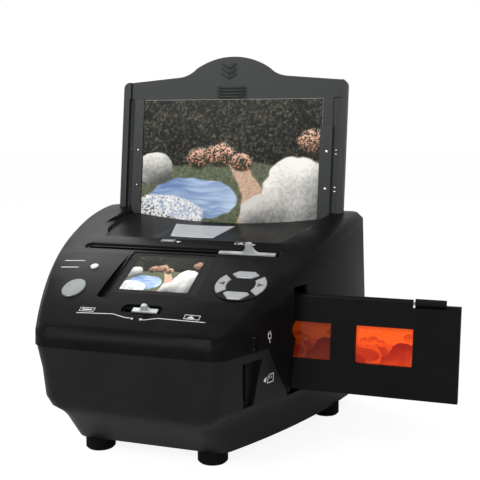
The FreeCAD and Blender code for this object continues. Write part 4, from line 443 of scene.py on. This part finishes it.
def garden(u, v):
    """sRGB colours of the garden at u (left to right) and v (bottom to top), both 0..1.

    Each thing covers what was painted before it, from the hedge behind to the shrubs in front."""
    fine = value_noise(u, v, *FINE)
    leaf = value_noise(u, v, *LEAFY)
    slow = value_noise(u, v, *SLOW)
    u = np.clip(u + 0.018 * (value_noise(u, v, *SWAY_ACROSS) - 0.5), 0, 1)
    v = np.clip(v + 0.022 * (value_noise(u, v, *SWAY_UP) - 0.5), 0, 1)
    picture = shade(1.5 * fine * leaf + 0.3 * slow - 0.25, *HEDGE)
    # The lawn ends in a wavy line, LAWN_TOP - 0.03 sin 9u.
    lawn = v + 0.03 * np.sin(9 * u) - LAWN_TOP
    picture = cover(picture, -lawn / LAWN_EDGE, shade(fine * 0.6 + leaf * 0.4, *LAWN))
    # The path bends, and half its width grows from 0.05 at the far end to 0.10 in front.
    from_middle = u - PATH_MIDDLE - 0.35 * (0.5 - v) ** 2 - 0.06 * np.sin(7 * v)
    path = np.abs(from_middle) - 0.05 - 0.10 * (0.5 - v)
    picture = cover(picture, np.where(v < PATH_TOP, -path / PATH_EDGE, 0), shade(fine, *PATH))
    ripple = value_noise(u, v, *RIPPLES)
    picture = cover(picture, soft_oval(u, v, *POND), shade(0.55 * ripple + 0.55 * slow - 0.1, *WATER))
    # Each boulder is lit from above and from the left, and mottled by two noises.
    for place, size, tone in STONES:
        stone = soft_oval(u, v, place, size, STONE_EDGE)
        above, beside = (v - place[1]) / size[1], (u - place[0]) / size[0]
        lit = 0.55 + 0.50 * above - 0.22 * beside + 0.35 * (slow - 0.5) + 0.22 * (leaf - 0.5)
        rock = shade(lit + 0.10 * fine, (tone * 0.36,) * 3, (tone, tone * 0.99, tone * 0.96))
        picture = cover(picture, stone, rock)
    # Daisies stand in the bed where the fine noise is high, and blossom on the top of each bush.
    bed = soft_oval(u, v, *BED) * (fine > 0.30)
    picture = cover(picture, bed, shade(fine * 1.6 - 0.3, *DAISIES))
    for place, size in SHRUBS:
        bush = soft_oval(u, v, place, size, SHRUB_EDGE)
        above = np.clip(0.5 + 0.5 * (v - place[1]) / size[1], 0, 1)
        picture = cover(picture, bush, shade(leaf * above, *BUSH))
        blossom = bush * np.clip((fine * (0.55 + 0.6 * above) - 0.42) / 0.1, 0, 1)
        picture = cover(picture, blossom, shade(fine * above * 1.4, *BLOSSOM))
    return np.clip(picture, 0, 1)


sample = np.array([0.2, 0.5, 0.8])
print("garden tones:", garden(sample, sample).round(2).tolist())


# %% A picture on a piece
def to_linear(colours):
    """The same sRGB formula as linear(), on a whole array."""
    return np.where(colours <= 0.04045, colours / 12.92, ((colours + 0.055) / 1.055) ** 2.4)


def paint(piece, colours):
    """Keeps one colour for each point, as linear light, in the attribute 'picture'."""
    rgba = np.concatenate([to_linear(colours.reshape(-1, 3)), np.ones((colours[..., 0].size, 1))], axis=1)
    layer = piece.data.color_attributes.new("picture", "FLOAT_COLOR", "POINT")
    layer.data.foreach_set("color", rgba.astype(np.float32).ravel())


def picture_material(name, roughness, glow=0.0, **sockets):
    """A surface coloured by the attribute 'picture', with a share of it given off as light."""
    made, tree, shader = new_material(name, "808080", roughness, **sockets)
    colour = add(tree, "ShaderNodeVertexColor", layer_name="picture").outputs["Color"]
    tree.links.new(colour, shader.inputs["Base Color"])
    if glow:
        tree.links.new(colour, shader.inputs["Emission Color"])
        shader.inputs["Emission Strength"].default_value = glow
    return made


print("mid grey as linear light:", to_linear(np.array([0.5])).round(3).tolist())

# %% [markdown]
# ## The print in the tray
#
# A 6 x 4 inch colour print. The CAD node is the paper; the picture is the dye layer, a fine grid
# 0.02 mm in front of it with the resin gloss of photographic paper.

# %% The print's picture
PRINT_HALF = 76.15
PRINT_LOW, PRINT_HIGH = -11.5, 89.9
PRINT_FACE = 1.88
PRINT_COLUMNS, PRINT_ROWS = 300, 200

dye_gloss = picture_material("glossy_photographic_paper", 0.3, Specular_IOR_Level=0.12)
across, up = unit_grid(PRINT_COLUMNS, PRINT_ROWS)
print_points = on_tray((across - 0.5) * 2 * PRINT_HALF, PRINT_FACE, PRINT_LOW + (PRINT_HIGH - PRINT_LOW) * up)
print_picture = grid_piece("print_picture", print_points, dye_gloss, "photo_tray")
paint(print_picture, garden(across, up))
print("print faces:", len(print_picture.data.polygons))

# %% [markdown]
# ## The display
#
# A 2.4 inch colour display under an acrylic window whose rim is printed black on the back. The
# picture gives off its own light, because a lit display does, and the acrylic adds a faint
# reflection. The black rim is a flat ring between two rounded rectangles.

# %% The display's picture and its black border
DISPLAY_HALF_WIDE, DISPLAY_LOW, DISPLAY_HIGH = 24.6, -15.9, 23.6
DISPLAY_COLUMNS, DISPLAY_ROWS = 200, 150
DISPLAY_FACE, BORDER_FACE = -1.17, -1.13
WINDOW_HALF_WIDE, WINDOW_HALF_HIGH, WINDOW_LIFT = 30.9, 23.4, 3.6
DISPLAY_CORNER, WINDOW_CORNER, BORDER_LAP = 0.4, 1.2, 0.3
GARDEN_SHOWN = 0.86

lit_display = picture_material("lit_colour_display", 0.3, glow=0.3, Specular_IOR_Level=0.05)
across, up = unit_grid(DISPLAY_COLUMNS, DISPLAY_ROWS)
up_slope = DISPLAY_LOW + (DISPLAY_HIGH - DISPLAY_LOW) * up
display_points = on_display((across - 0.5) * 2 * DISPLAY_HALF_WIDE, up_slope, DISPLAY_FACE)
display_picture = grid_piece("display_picture", display_points, lit_display, "scanner")
paint(display_picture, garden(across, GARDEN_SHOWN * up))


def rectangle_loop(half_wide, low, high, radius, points_per_corner=6):
    """A rounded rectangle, anticlockwise and closed: four quarter circles about inset corners."""
    quarter = np.linspace(0, math.pi / 2, points_per_corner)
    angles = np.concatenate([quarter + k * math.pi / 2 for k in range(4)])
    signs = np.repeat(np.array([[1, 1], [-1, 1], [-1, -1], [1, -1]]), points_per_corner, axis=0)
    x = signs[:, 0] * (half_wide - radius) + radius * np.cos(angles)
    y = (low + high) / 2 + signs[:, 1] * ((high - low) / 2 - radius) + radius * np.sin(angles)
    return np.stack([np.append(x, x[0]), np.append(y, y[0])], axis=-1)


inner = rectangle_loop(DISPLAY_HALF_WIDE - BORDER_LAP, DISPLAY_LOW + BORDER_LAP, DISPLAY_HIGH - BORDER_LAP,
                       DISPLAY_CORNER)
outer = rectangle_loop(WINDOW_HALF_WIDE, WINDOW_LIFT - WINDOW_HALF_HIGH, WINDOW_LIFT + WINDOW_HALF_HIGH,
                       WINDOW_CORNER)
ring = np.stack([inner, outer])
border_points = on_display(ring[..., 0], ring[..., 1], BORDER_FACE)
border = grid_piece("display_border", border_points, border_ink, "scanner", flip=True)
print("border points:", len(border.data.vertices))

# %% [markdown]
# ## Film in the slide mounts
#
# Colour negative film has an orange mask, and its picture is reversed: what was bright is dark. The
# frames are the same garden turned into a negative, on a thin sheet that lets some light through. They
# also give off a painted glow, though film is no lamp, for the light that shines through them from
# behind. The second frame sits in the slot's channel within the housing and is darkened as painted shade.

# %% Negative frames
FILM_MIDDLES = (41.0, 93.5, 146.0)
# Painted shade: the second frame, in the slot's channel within the housing, is darkened to 0.55.
FILM_PAINTED_SHADE = (1.0, 0.55, 1.0)
FILM_WIDE, FILM_HIGH = 36.6, 24.6
FILM_FACE, FILM_LIFT = 3.70, -1.6
FILM_COLUMNS, FILM_ROWS = 110, 74
CROP_ACROSS, CROP_UP, CROP_SHIFT = 0.8, 0.9, 0.07
ORANGE_MASK = np.array([0.97, 0.37, 0.08])
DENSEST = np.array([0.52, 0.05, 0.01])
BRIGHTNESS = np.array([0.3, 0.6, 0.1])

# A painted glow: the negative gives off a share of its own colours as light, for the light through it.
film_base = picture_material("colour_negative_film_painted_glow", 0.2, glow=0.5, Transmission_Weight=0.25,
                             Specular_IOR_Level=0.08)
film_clear, _, _ = new_material("film_base_orange", "f08a45", 0.12, Transmission_Weight=0.7, IOR=1.5)
across, up = unit_grid(FILM_COLUMNS, FILM_ROWS)


def negative(colours):
    """ORANGE_MASK x (1 - brightness) + DENSEST x brightness, so what was bright comes out dark."""
    dense = (colours @ BRIGHTNESS)[..., None]
    return ORANGE_MASK * (1 - dense) + DENSEST * dense


for number, (middle, tone) in enumerate(zip(FILM_MIDDLES, FILM_PAINTED_SHADE), 1):
    points = on_holder(middle + (across - 0.5) * FILM_WIDE, FILM_FACE, FILM_LIFT + (up - 0.5) * FILM_HIGH)
    frame_piece = grid_piece(f"film_picture_{number}", points, film_base, "film_holder")
    cropped = garden((across * CROP_ACROSS + CROP_SHIFT * number) % 1.0, up * CROP_UP)
    # Painted shade: tone darkens the second frame, and its glow with it.
    paint(frame_piece, negative(cropped) * tone)
    finish_node(nodes[f"film_chip_{number}"], film_clear)
print("film frames:", len(FILM_MIDDLES))

# %% [markdown]
# ## Printed marks
#
# The marks on the panel are pad-printed: a silicone pad lays 0.02 mm of white ink on the curved
# plastic. Each is drawn flat from ribbons and patches, then dropped straight down on the CAD
# surface with Shrinkwrap, which follows the curve exactly, and kept as a mesh. Here the ink is
# 0.03 mm thick with its face 0.04 mm above the plastic, so that the two never lie in one place.
# They are plain signs: arrows, leader lines and small pictograms.


# %% Flat shapes
def ribbon(points, width, closed=False, step=2.0):
    """A line of even width: each point goes half the width to both sides along the mitred normal."""
    points = np.asarray(points, dtype=float)
    if closed:
        points = np.vstack([points, points[:1]])
    runs = np.linalg.norm(np.diff(points, axis=0), axis=1)
    pieces = [
        np.linspace(a, b, max(int(run / step), 1), endpoint=False)
        for a, b, run in zip(points, points[1:], runs)
    ]
    line = np.vstack(pieces + [points[-1:]])
    ahead = np.diff(line, axis=0)
    ahead = ahead / np.linalg.norm(ahead, axis=1)[:, None]
    before, after = np.vstack([ahead[:1], ahead]), np.vstack([ahead, ahead[-1:]])
    if closed:
        before[0], after[-1] = ahead[-1], ahead[0]
    along = before + after
    along = along / np.linalg.norm(along, axis=1)[:, None]
    stretch = 1 / np.clip((along * after).sum(axis=1), 0.4, 1)
    side = np.stack([-along[:, 1], along[:, 0]], axis=1) * (stretch * width / 2)[:, None]
    grid = np.stack([line - side, line + side])
    return grid.reshape(-1, 2), grid_faces(2, len(line))


def outline(left, low, right, high, width):
    """A rectangle drawn as a closed line of even width."""
    return ribbon([(left, low), (right, low), (right, high), (left, high)], width, closed=True)


def patch(a, b, c, d, steps=4):
    """A four-cornered patch: (1-s)(1-t)a + s(1-t)b + st c + (1-s)t d."""
    s, t = unit_grid(steps, steps)
    s, t = s[..., None], t[..., None]
    a, b, c, d = (np.asarray(p, dtype=float) for p in (a, b, c, d))
    grid = (1 - s) * (1 - t) * a + s * (1 - t) * b + s * t * c + (1 - s) * t * d
    return grid.reshape(-1, 2), grid_faces(steps, steps)


def triangle(a, b, c):
    """A triangle as a patch whose fourth corner is the middle of the last side."""
    return patch(a, b, c, (np.asarray(a) + np.asarray(c)) / 2)


def join(shapes):
    """Several flat shapes as one list of points and one of quads."""
    shift, points, quads = 0, [], []
    for shape_points, shape_quads in shapes:
        points.append(shape_points)
        quads.append(shape_quads + shift)
        shift += len(shape_points)
    return np.vstack(points), np.vstack(quads)


print("flat shapes ready")

# %% The drop onto a surface
DROP_FROM = 20.0
INK_LIFT, INK_THICK = 0.04, 0.03


def keep_shape(piece):
    """Bakes the piece's modifiers into its mesh."""
    bpy.context.view_layer.update()
    graph = bpy.context.evaluated_depsgraph_get()
    baked = bpy.data.meshes.new_from_object(piece.evaluated_get(graph))
    piece.modifiers.clear()
    piece.data = baked


def print_on(name, shapes, target, body, ink, along="Z", lift=INK_LIFT, thick=INK_THICK):
    """Drops flat shapes along -Z or -X onto a node, lift millimetres above it, and thickens them.

    Their points are (x, y) in millimetres for Z and (y, z) for X, and they start DROP_FROM
    millimetres beyond the node's box."""
    points, quads = join(shapes)
    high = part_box(target)[1]
    if along == "Z":
        points = np.column_stack([points / 1000, np.full(len(points), high[2] + DROP_FROM / 1000)])
    else:
        points = np.column_stack([np.full(len(points), high[0] + DROP_FROM / 1000), points / 1000])
    piece = make_piece(name, points, quads, ink, body)
    wrap = piece.modifiers.new("drop", "SHRINKWRAP")
    wrap.target = nodes[target]
    wrap.wrap_method = "PROJECT"
    wrap.wrap_mode = "ABOVE_SURFACE"
    wrap.use_project_z = along == "Z"
    wrap.use_project_x = along == "X"
    wrap.use_negative_direction = True
    wrap.use_positive_direction = False
    wrap.offset = lift / 1000
    keep_shape(piece)
    shell = piece.modifiers.new("ink_depth", "SOLIDIFY")
    shell.thickness = thick / 1000
    shell.offset = -1.0
    return piece


print("printing ready")

# %% Marks on the panel
SLOT_LINE, SLOT_BAR = 0.35, 1.1
LEAD_LINE, FOCUS_LINE, FOCUS_BAR = 0.5, 0.4, 1.0
LAMP_LINE = 0.9

slot_signs = [
    triangle((-9.0, 3.4), (-7.0, 0.6), (-5.0, 3.4)),
    triangle((47.0, 3.6), (49.0, 0.8), (51.0, 3.6)),
    outline(-20.5, 2.2, -10.5, 5.6, SLOT_LINE),
    ribbon([(-19.5, 3.9), (-11.5, 3.9)], SLOT_BAR),
    outline(35.5, 2.4, 44.5, 6.2, SLOT_LINE),
    triangle((37.0, 3.2), (39.6, 5.4), (42.4, 3.2)),
]
focus_leads = [
    ribbon([(-41.0, -86.2), (-15.8, -85.0), (-6.4, -87.2), (-2.2, -87.4)], LEAD_LINE),
    triangle((-2.0, -86.9), (-0.2, -87.6), (-1.4, -88.9)),
    ribbon([(47.0, -86.4), (15.6, -85.9), (7.2, -88.0), (5.0, -88.1)], LEAD_LINE),
    triangle((3.4, -87.4), (5.6, -86.9), (4.9, -89.0)),
]
focus_signs = [
    ribbon([(-40.0, -84.4), (-30.0, -84.2), (-30.0, -81.2), (-40.0, -81.4)], FOCUS_LINE, closed=True),
    ribbon([(-38.6, -82.9), (-31.4, -82.7)], FOCUS_BAR),
    ribbon([(32.0, -84.6), (42.0, -84.8), (42.0, -81.4), (32.0, -81.2)], FOCUS_LINE, closed=True),
    triangle((33.6, -84.0), (36.4, -81.9), (39.2, -84.1)),
]
lamp_lines = [
    ribbon([(-78.8, -33.5), (-63.4, -32.1)], LAMP_LINE),
    ribbon([(-77.0, -41.9), (-63.8, -40.7)], LAMP_LINE),
]
panel_marks = {"slot_marks": slot_signs, "focus_marks": focus_leads + focus_signs, "lamp_marks": lamp_lines}
for name, shapes in panel_marks.items():
    print_on(name, shapes, "upper_cover", "scanner", screen_ink)
print("panel marks:", list(panel_marks))

# %% Arrows on the keys and signs on the wall
KEY_ARROWS = {
    "left": ((42.6, -50.6), (46.8, -48.6), (46.8, -52.6)),
    "right": ((68.8, -52.6), (68.8, -48.6), (73.0, -50.6)),
}
CABLE_LINE, PLUG_LINE, PRONG_LINE, CARD_LINE = 0.5, 0.45, 0.4, 0.5

for side, tips in KEY_ARROWS.items():
    print_on(f"{side}_key_arrow", [triangle(*tips)], f"{side}_button", f"{side}_key", key_ink)
plug_sign = [
    ribbon([(-61.5, 83.2), (-61.5, 86.2)], CABLE_LINE),
    outline(-62.8, 86.2, -60.2, 89.2, PLUG_LINE),
    ribbon([(-62.2, 89.2), (-62.2, 90.8)], PRONG_LINE),
    ribbon([(-60.8, 89.2), (-60.8, 90.8)], PRONG_LINE),
]
card_edge = [(-57.4, 56.0), (-52.2, 56.0), (-52.2, 61.4), (-56.0, 61.4), (-57.4, 60.0)]
card_sign = [
    triangle((-61.5, 58.5), (-58.9, 56.4), (-58.9, 60.6)),
    ribbon(card_edge, CARD_LINE, closed=True),
    ribbon([(-55.8, 58.6), (-55.8, 60.2)], PRONG_LINE),
    ribbon([(-54.3, 58.6), (-54.3, 60.2)], PRONG_LINE),
]
wall_plug = print_on("plug_mark", plug_sign, "upper_cover", "scanner", screen_ink, along="X")
wall_card = print_on("card_mark", card_sign, "lower_base", "scanner", screen_ink, along="X")
print("signs:", wall_plug.name, wall_card.name)

# %% [markdown]
# ## Small trim on the tray
#
# Four steel pins sit in the holes of the print guides, the two right ones larger. The hump carries a
# low moulded relief: slats above the print, and three chevrons that show which way the tray goes in.


# %% Pins on the tray
PIN_CROWN = 0.35
PIN_RINGS, PIN_SIDES = 6, 24
PIN_HEIGHTS = {"upper": 48.4, "lower": 19.2}
# Place across, depth of the face and radius.
PINS = {"left": (-80.6, 1.1, 0.85), "right": (80.6, 0.7, 1.2)}


def pin_head(name, x, face, w, radius):
    """A domed head: radius x sin a out from its middle, and PIN_CROWN x cos a in front of face."""
    turn, dip = np.meshgrid(np.linspace(0, 2 * math.pi, PIN_SIDES), np.linspace(0.05, math.pi / 2, PIN_RINGS))
    reach = radius * np.sin(dip)
    points = on_tray(x + reach * np.cos(turn), face - PIN_CROWN * np.cos(dip), w + reach * np.sin(turn))
    return grid_piece(name, points, plated_steel, "photo_tray", flip=True)


for height, w in PIN_HEIGHTS.items():
    for side, (x, face, radius) in PINS.items():
        pin_head(f"pin_{side}_{height}", x, face, w, radius)
print("pins:", len(PINS) * len(PIN_HEIGHTS))

# %% Relief on the tray
RELIEF_HEIGHT, RELIEF_DEPTH = 0.16, 0.26
RELIEF_LINE = 1.1
SLAT_LEFT, SLAT_RIGHT = -11.7, 12.2
SLAT_LOWS = (91.5, 94.0, 96.5, 99.0)
CHEVRON_TIP, CHEVRON_HALF, CHEVRON_RISE = -3.0, 6.0, 3.6
CHEVRON_LOWS = (107.5, 111.5, 115.5)


def raise_on_tray(name, shapes, finish, height, depth):
    """Flat shapes lifted off the tray's face by height, and depth thick, so that they root in it."""
    points, quads = join(shapes)
    piece = make_piece(name, on_tray(points[:, 0], -height, points[:, 1]), quads, finish, "photo_tray")
    shell = piece.modifiers.new("relief_depth", "SOLIDIFY")
    shell.thickness = depth / 1000
    shell.offset = -1.0
    return piece


def slat(low):
    """A rectangle between the slats' ends, RELIEF_LINE high."""
    high = low + RELIEF_LINE
    return patch((SLAT_LEFT, low), (SLAT_RIGHT, low), (SLAT_RIGHT, high), (SLAT_LEFT, high))


def chevron(low):
    """A line from its left end down to the tip and up again."""
    high = low + CHEVRON_RISE
    corners = [(CHEVRON_TIP - CHEVRON_HALF, high), (CHEVRON_TIP, low), (CHEVRON_TIP + CHEVRON_HALF, high)]
    return ribbon(corners, RELIEF_LINE)


raised = [slat(low) for low in SLAT_LOWS] + [chevron(low) for low in CHEVRON_LOWS]
tray_relief = raise_on_tray("tray_relief", raised, tray_abs, RELIEF_HEIGHT, RELIEF_DEPTH)
print("relief faces:", len(tray_relief.data.polygons))

# %% [markdown]
# ## Grip ribs on the lever's strip
#
# The strip of the backlight lever has a few fine ribs at both ends, so that a fingertip can push it.
# They are short ribbons, dropped on the strip as the printed marks are, but thick enough to feel.

# %% Grip ribs
STRIP_MIDDLE = -9.8
RIB_FIRST, RIB_STEP, RIB_COUNT = 1.0, 1.3, 5
RIB_HALF, RIB_WIDTH, RIB_LIFT, RIB_THICK = 1.3, 0.6, 0.35, 0.4

strip_low, strip_high = (1000 * np.array(corner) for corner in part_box("light_lever"))
ribs = []
for number in range(RIB_COUNT):
    inset = RIB_FIRST + RIB_STEP * number
    for x in (strip_low[0] + inset, strip_high[0] - inset):
        ends = [(x, STRIP_MIDDLE - RIB_HALF), (x, STRIP_MIDDLE + RIB_HALF)]
        ribs.append(ribbon(ends, RIB_WIDTH, step=1.0))
print_on("lever_grip_ribs", ribs, "light_lever", "light_slider", silver_lacquer,
         lift=RIB_LIFT, thick=RIB_THICK)
print("ribs:", len(ribs), "on a strip", (strip_high - strip_low).round(1).tolist())

# %% [markdown]
# ## Badge plate
#
# The plate on the dish is a thin four-sided sheet of satin aluminium, glued in place. It is one
# patch, dropped on the dish so that it follows the curve, and a small bevel gives its rolled edge.

# %% Badge plate
PLATE_CORNERS = ((-21.2, 21.5), (12.6, 21.6), (13.5, 69.0), (-34.7, 65.1))
PLATE_STEPS = 14
PLATE_LIFT, PLATE_THICK = 0.55, 0.5
PLATE_EDGE = 0.2

badge_plate = print_on("badge_plate", [patch(*PLATE_CORNERS, steps=PLATE_STEPS)], "upper_cover", "scanner",
                       aluminium_plate, lift=PLATE_LIFT, thick=PLATE_THICK)
edge = badge_plate.modifiers.new("rolled_edge", "BEVEL")
edge.width = PLATE_EDGE / 1000
edge.segments = 2
print("plate:", len(badge_plate.data.polygons), "faces")

# %% [markdown]
# ## Floor and light
#
# A plain pale floor and three large soft lamps: a key from the front left that rolls over the
# panel's rim, a fill from the right, and one behind for the edges. The camera, mirrors and glass
# see plain white where there is nothing, while the object is lit by half of it. The floor is part
# white of itself, so it keeps only a soft shadow of the object.


# %% Lamps
# Place, the point that the lamp faces, side of its square, all in metres, and watts.
LAMPS = {
    "key_lamp": ((-0.55, -1.15, 1.0), (0.0, 0.0, 0.1), 0.55, 13.5),
    "fill_lamp": ((1.0, -1.1, 0.8), (0.05, 0.0, 0.1), 0.8, 4.0),
    "rim_lamp": ((-0.7, 0.85, 1.05), (0.0, 0.0, 0.15), 0.55, 5.0),
}


def soft_lamp(name, place, aim, size, watts):
    """A square area lamp at place that faces aim."""
    data = bpy.data.lights.new(name, "AREA")
    data.shape, data.size, data.energy = "SQUARE", size, watts
    lamp = bpy.data.objects.new(name, data)
    bpy.context.scene.collection.objects.link(lamp)
    lamp.location = place
    lamp.rotation_euler = (Vector(aim) - Vector(place)).to_track_quat("-Z", "Y").to_euler()


for name, values in LAMPS.items():
    soft_lamp(name, *values)
print("lamps:", list(LAMPS))

# %% The white around it
WHITE = (1.0, 1.0, 1.0, 1.0)
SKY_ON_OBJECT, SKY_SEEN = 0.5, 1.0

world = bpy.data.worlds.new("studio_white")
bpy.context.scene.world = world
world.use_nodes = True
air = world.node_tree
air.nodes.clear()
rays = add(air, "ShaderNodeLightPath").outputs
straight = {0: rays["Is Camera Ray"], 1: rays["Is Transmission Ray"]}
seen = add(air, "ShaderNodeMath", straight, operation="MAXIMUM").outputs[0]
seen = add(air, "ShaderNodeMath", {0: seen, 1: rays["Is Glossy Ray"]}, operation="MAXIMUM").outputs[0]
strength = add(air, "ShaderNodeMapRange", {"Value": seen, "To Min": SKY_ON_OBJECT, "To Max": SKY_SEEN})
sky = add(air, "ShaderNodeBackground", {"Color": WHITE, "Strength": strength.outputs["Result"]})
add(air, "ShaderNodeOutputWorld", {"Surface": sky.outputs[0]})
print("world nodes:", len(air.nodes))

# %% Floor
FLOOR_HALF, FLOOR_POINTS = 6.0, 3
FLOOR_WHITE, FLOOR_SHARE = 1.12, 0.8

floor_size = np.linspace(-FLOOR_HALF, FLOOR_HALF, FLOOR_POINTS)
floor_x, floor_y = np.meshgrid(floor_size, floor_size)
floor_points = np.stack([floor_x, floor_y, np.zeros_like(floor_x)], axis=-1).reshape(-1, 3)
floor_mesh = bpy.data.meshes.new("studio_floor")
floor_mesh.from_pydata(floor_points.tolist(), [], grid_faces(FLOOR_POINTS, FLOOR_POINTS).tolist())
floor = bpy.data.objects.new("studio_floor", floor_mesh)
bpy.context.scene.collection.objects.link(floor)
floor_paint = bpy.data.materials.new("pale_studio_paper")
floor_paint.use_nodes = True
paper = floor_paint.node_tree
paper.nodes.clear()
rays = add(paper, "ShaderNodeLightPath").outputs
lit = add(paper, "ShaderNodeBsdfDiffuse", {"Color": linear("f4f4f4")})
white = add(paper, "ShaderNodeEmission", {"Color": WHITE, "Strength": FLOOR_WHITE})
share = add(paper, "ShaderNodeMath", {0: rays["Is Camera Ray"], 1: FLOOR_SHARE}, operation="MULTIPLY")
mixed = add(paper, "ShaderNodeMixShader", {0: share.outputs[0], 1: lit.outputs[0], 2: white.outputs[0]})
add(paper, "ShaderNodeOutputMaterial", {"Surface": mixed.outputs[0]})
floor.data.materials.append(floor_paint)
bpy.context.scene.view_settings.view_transform = "Standard"
print("stage ready")
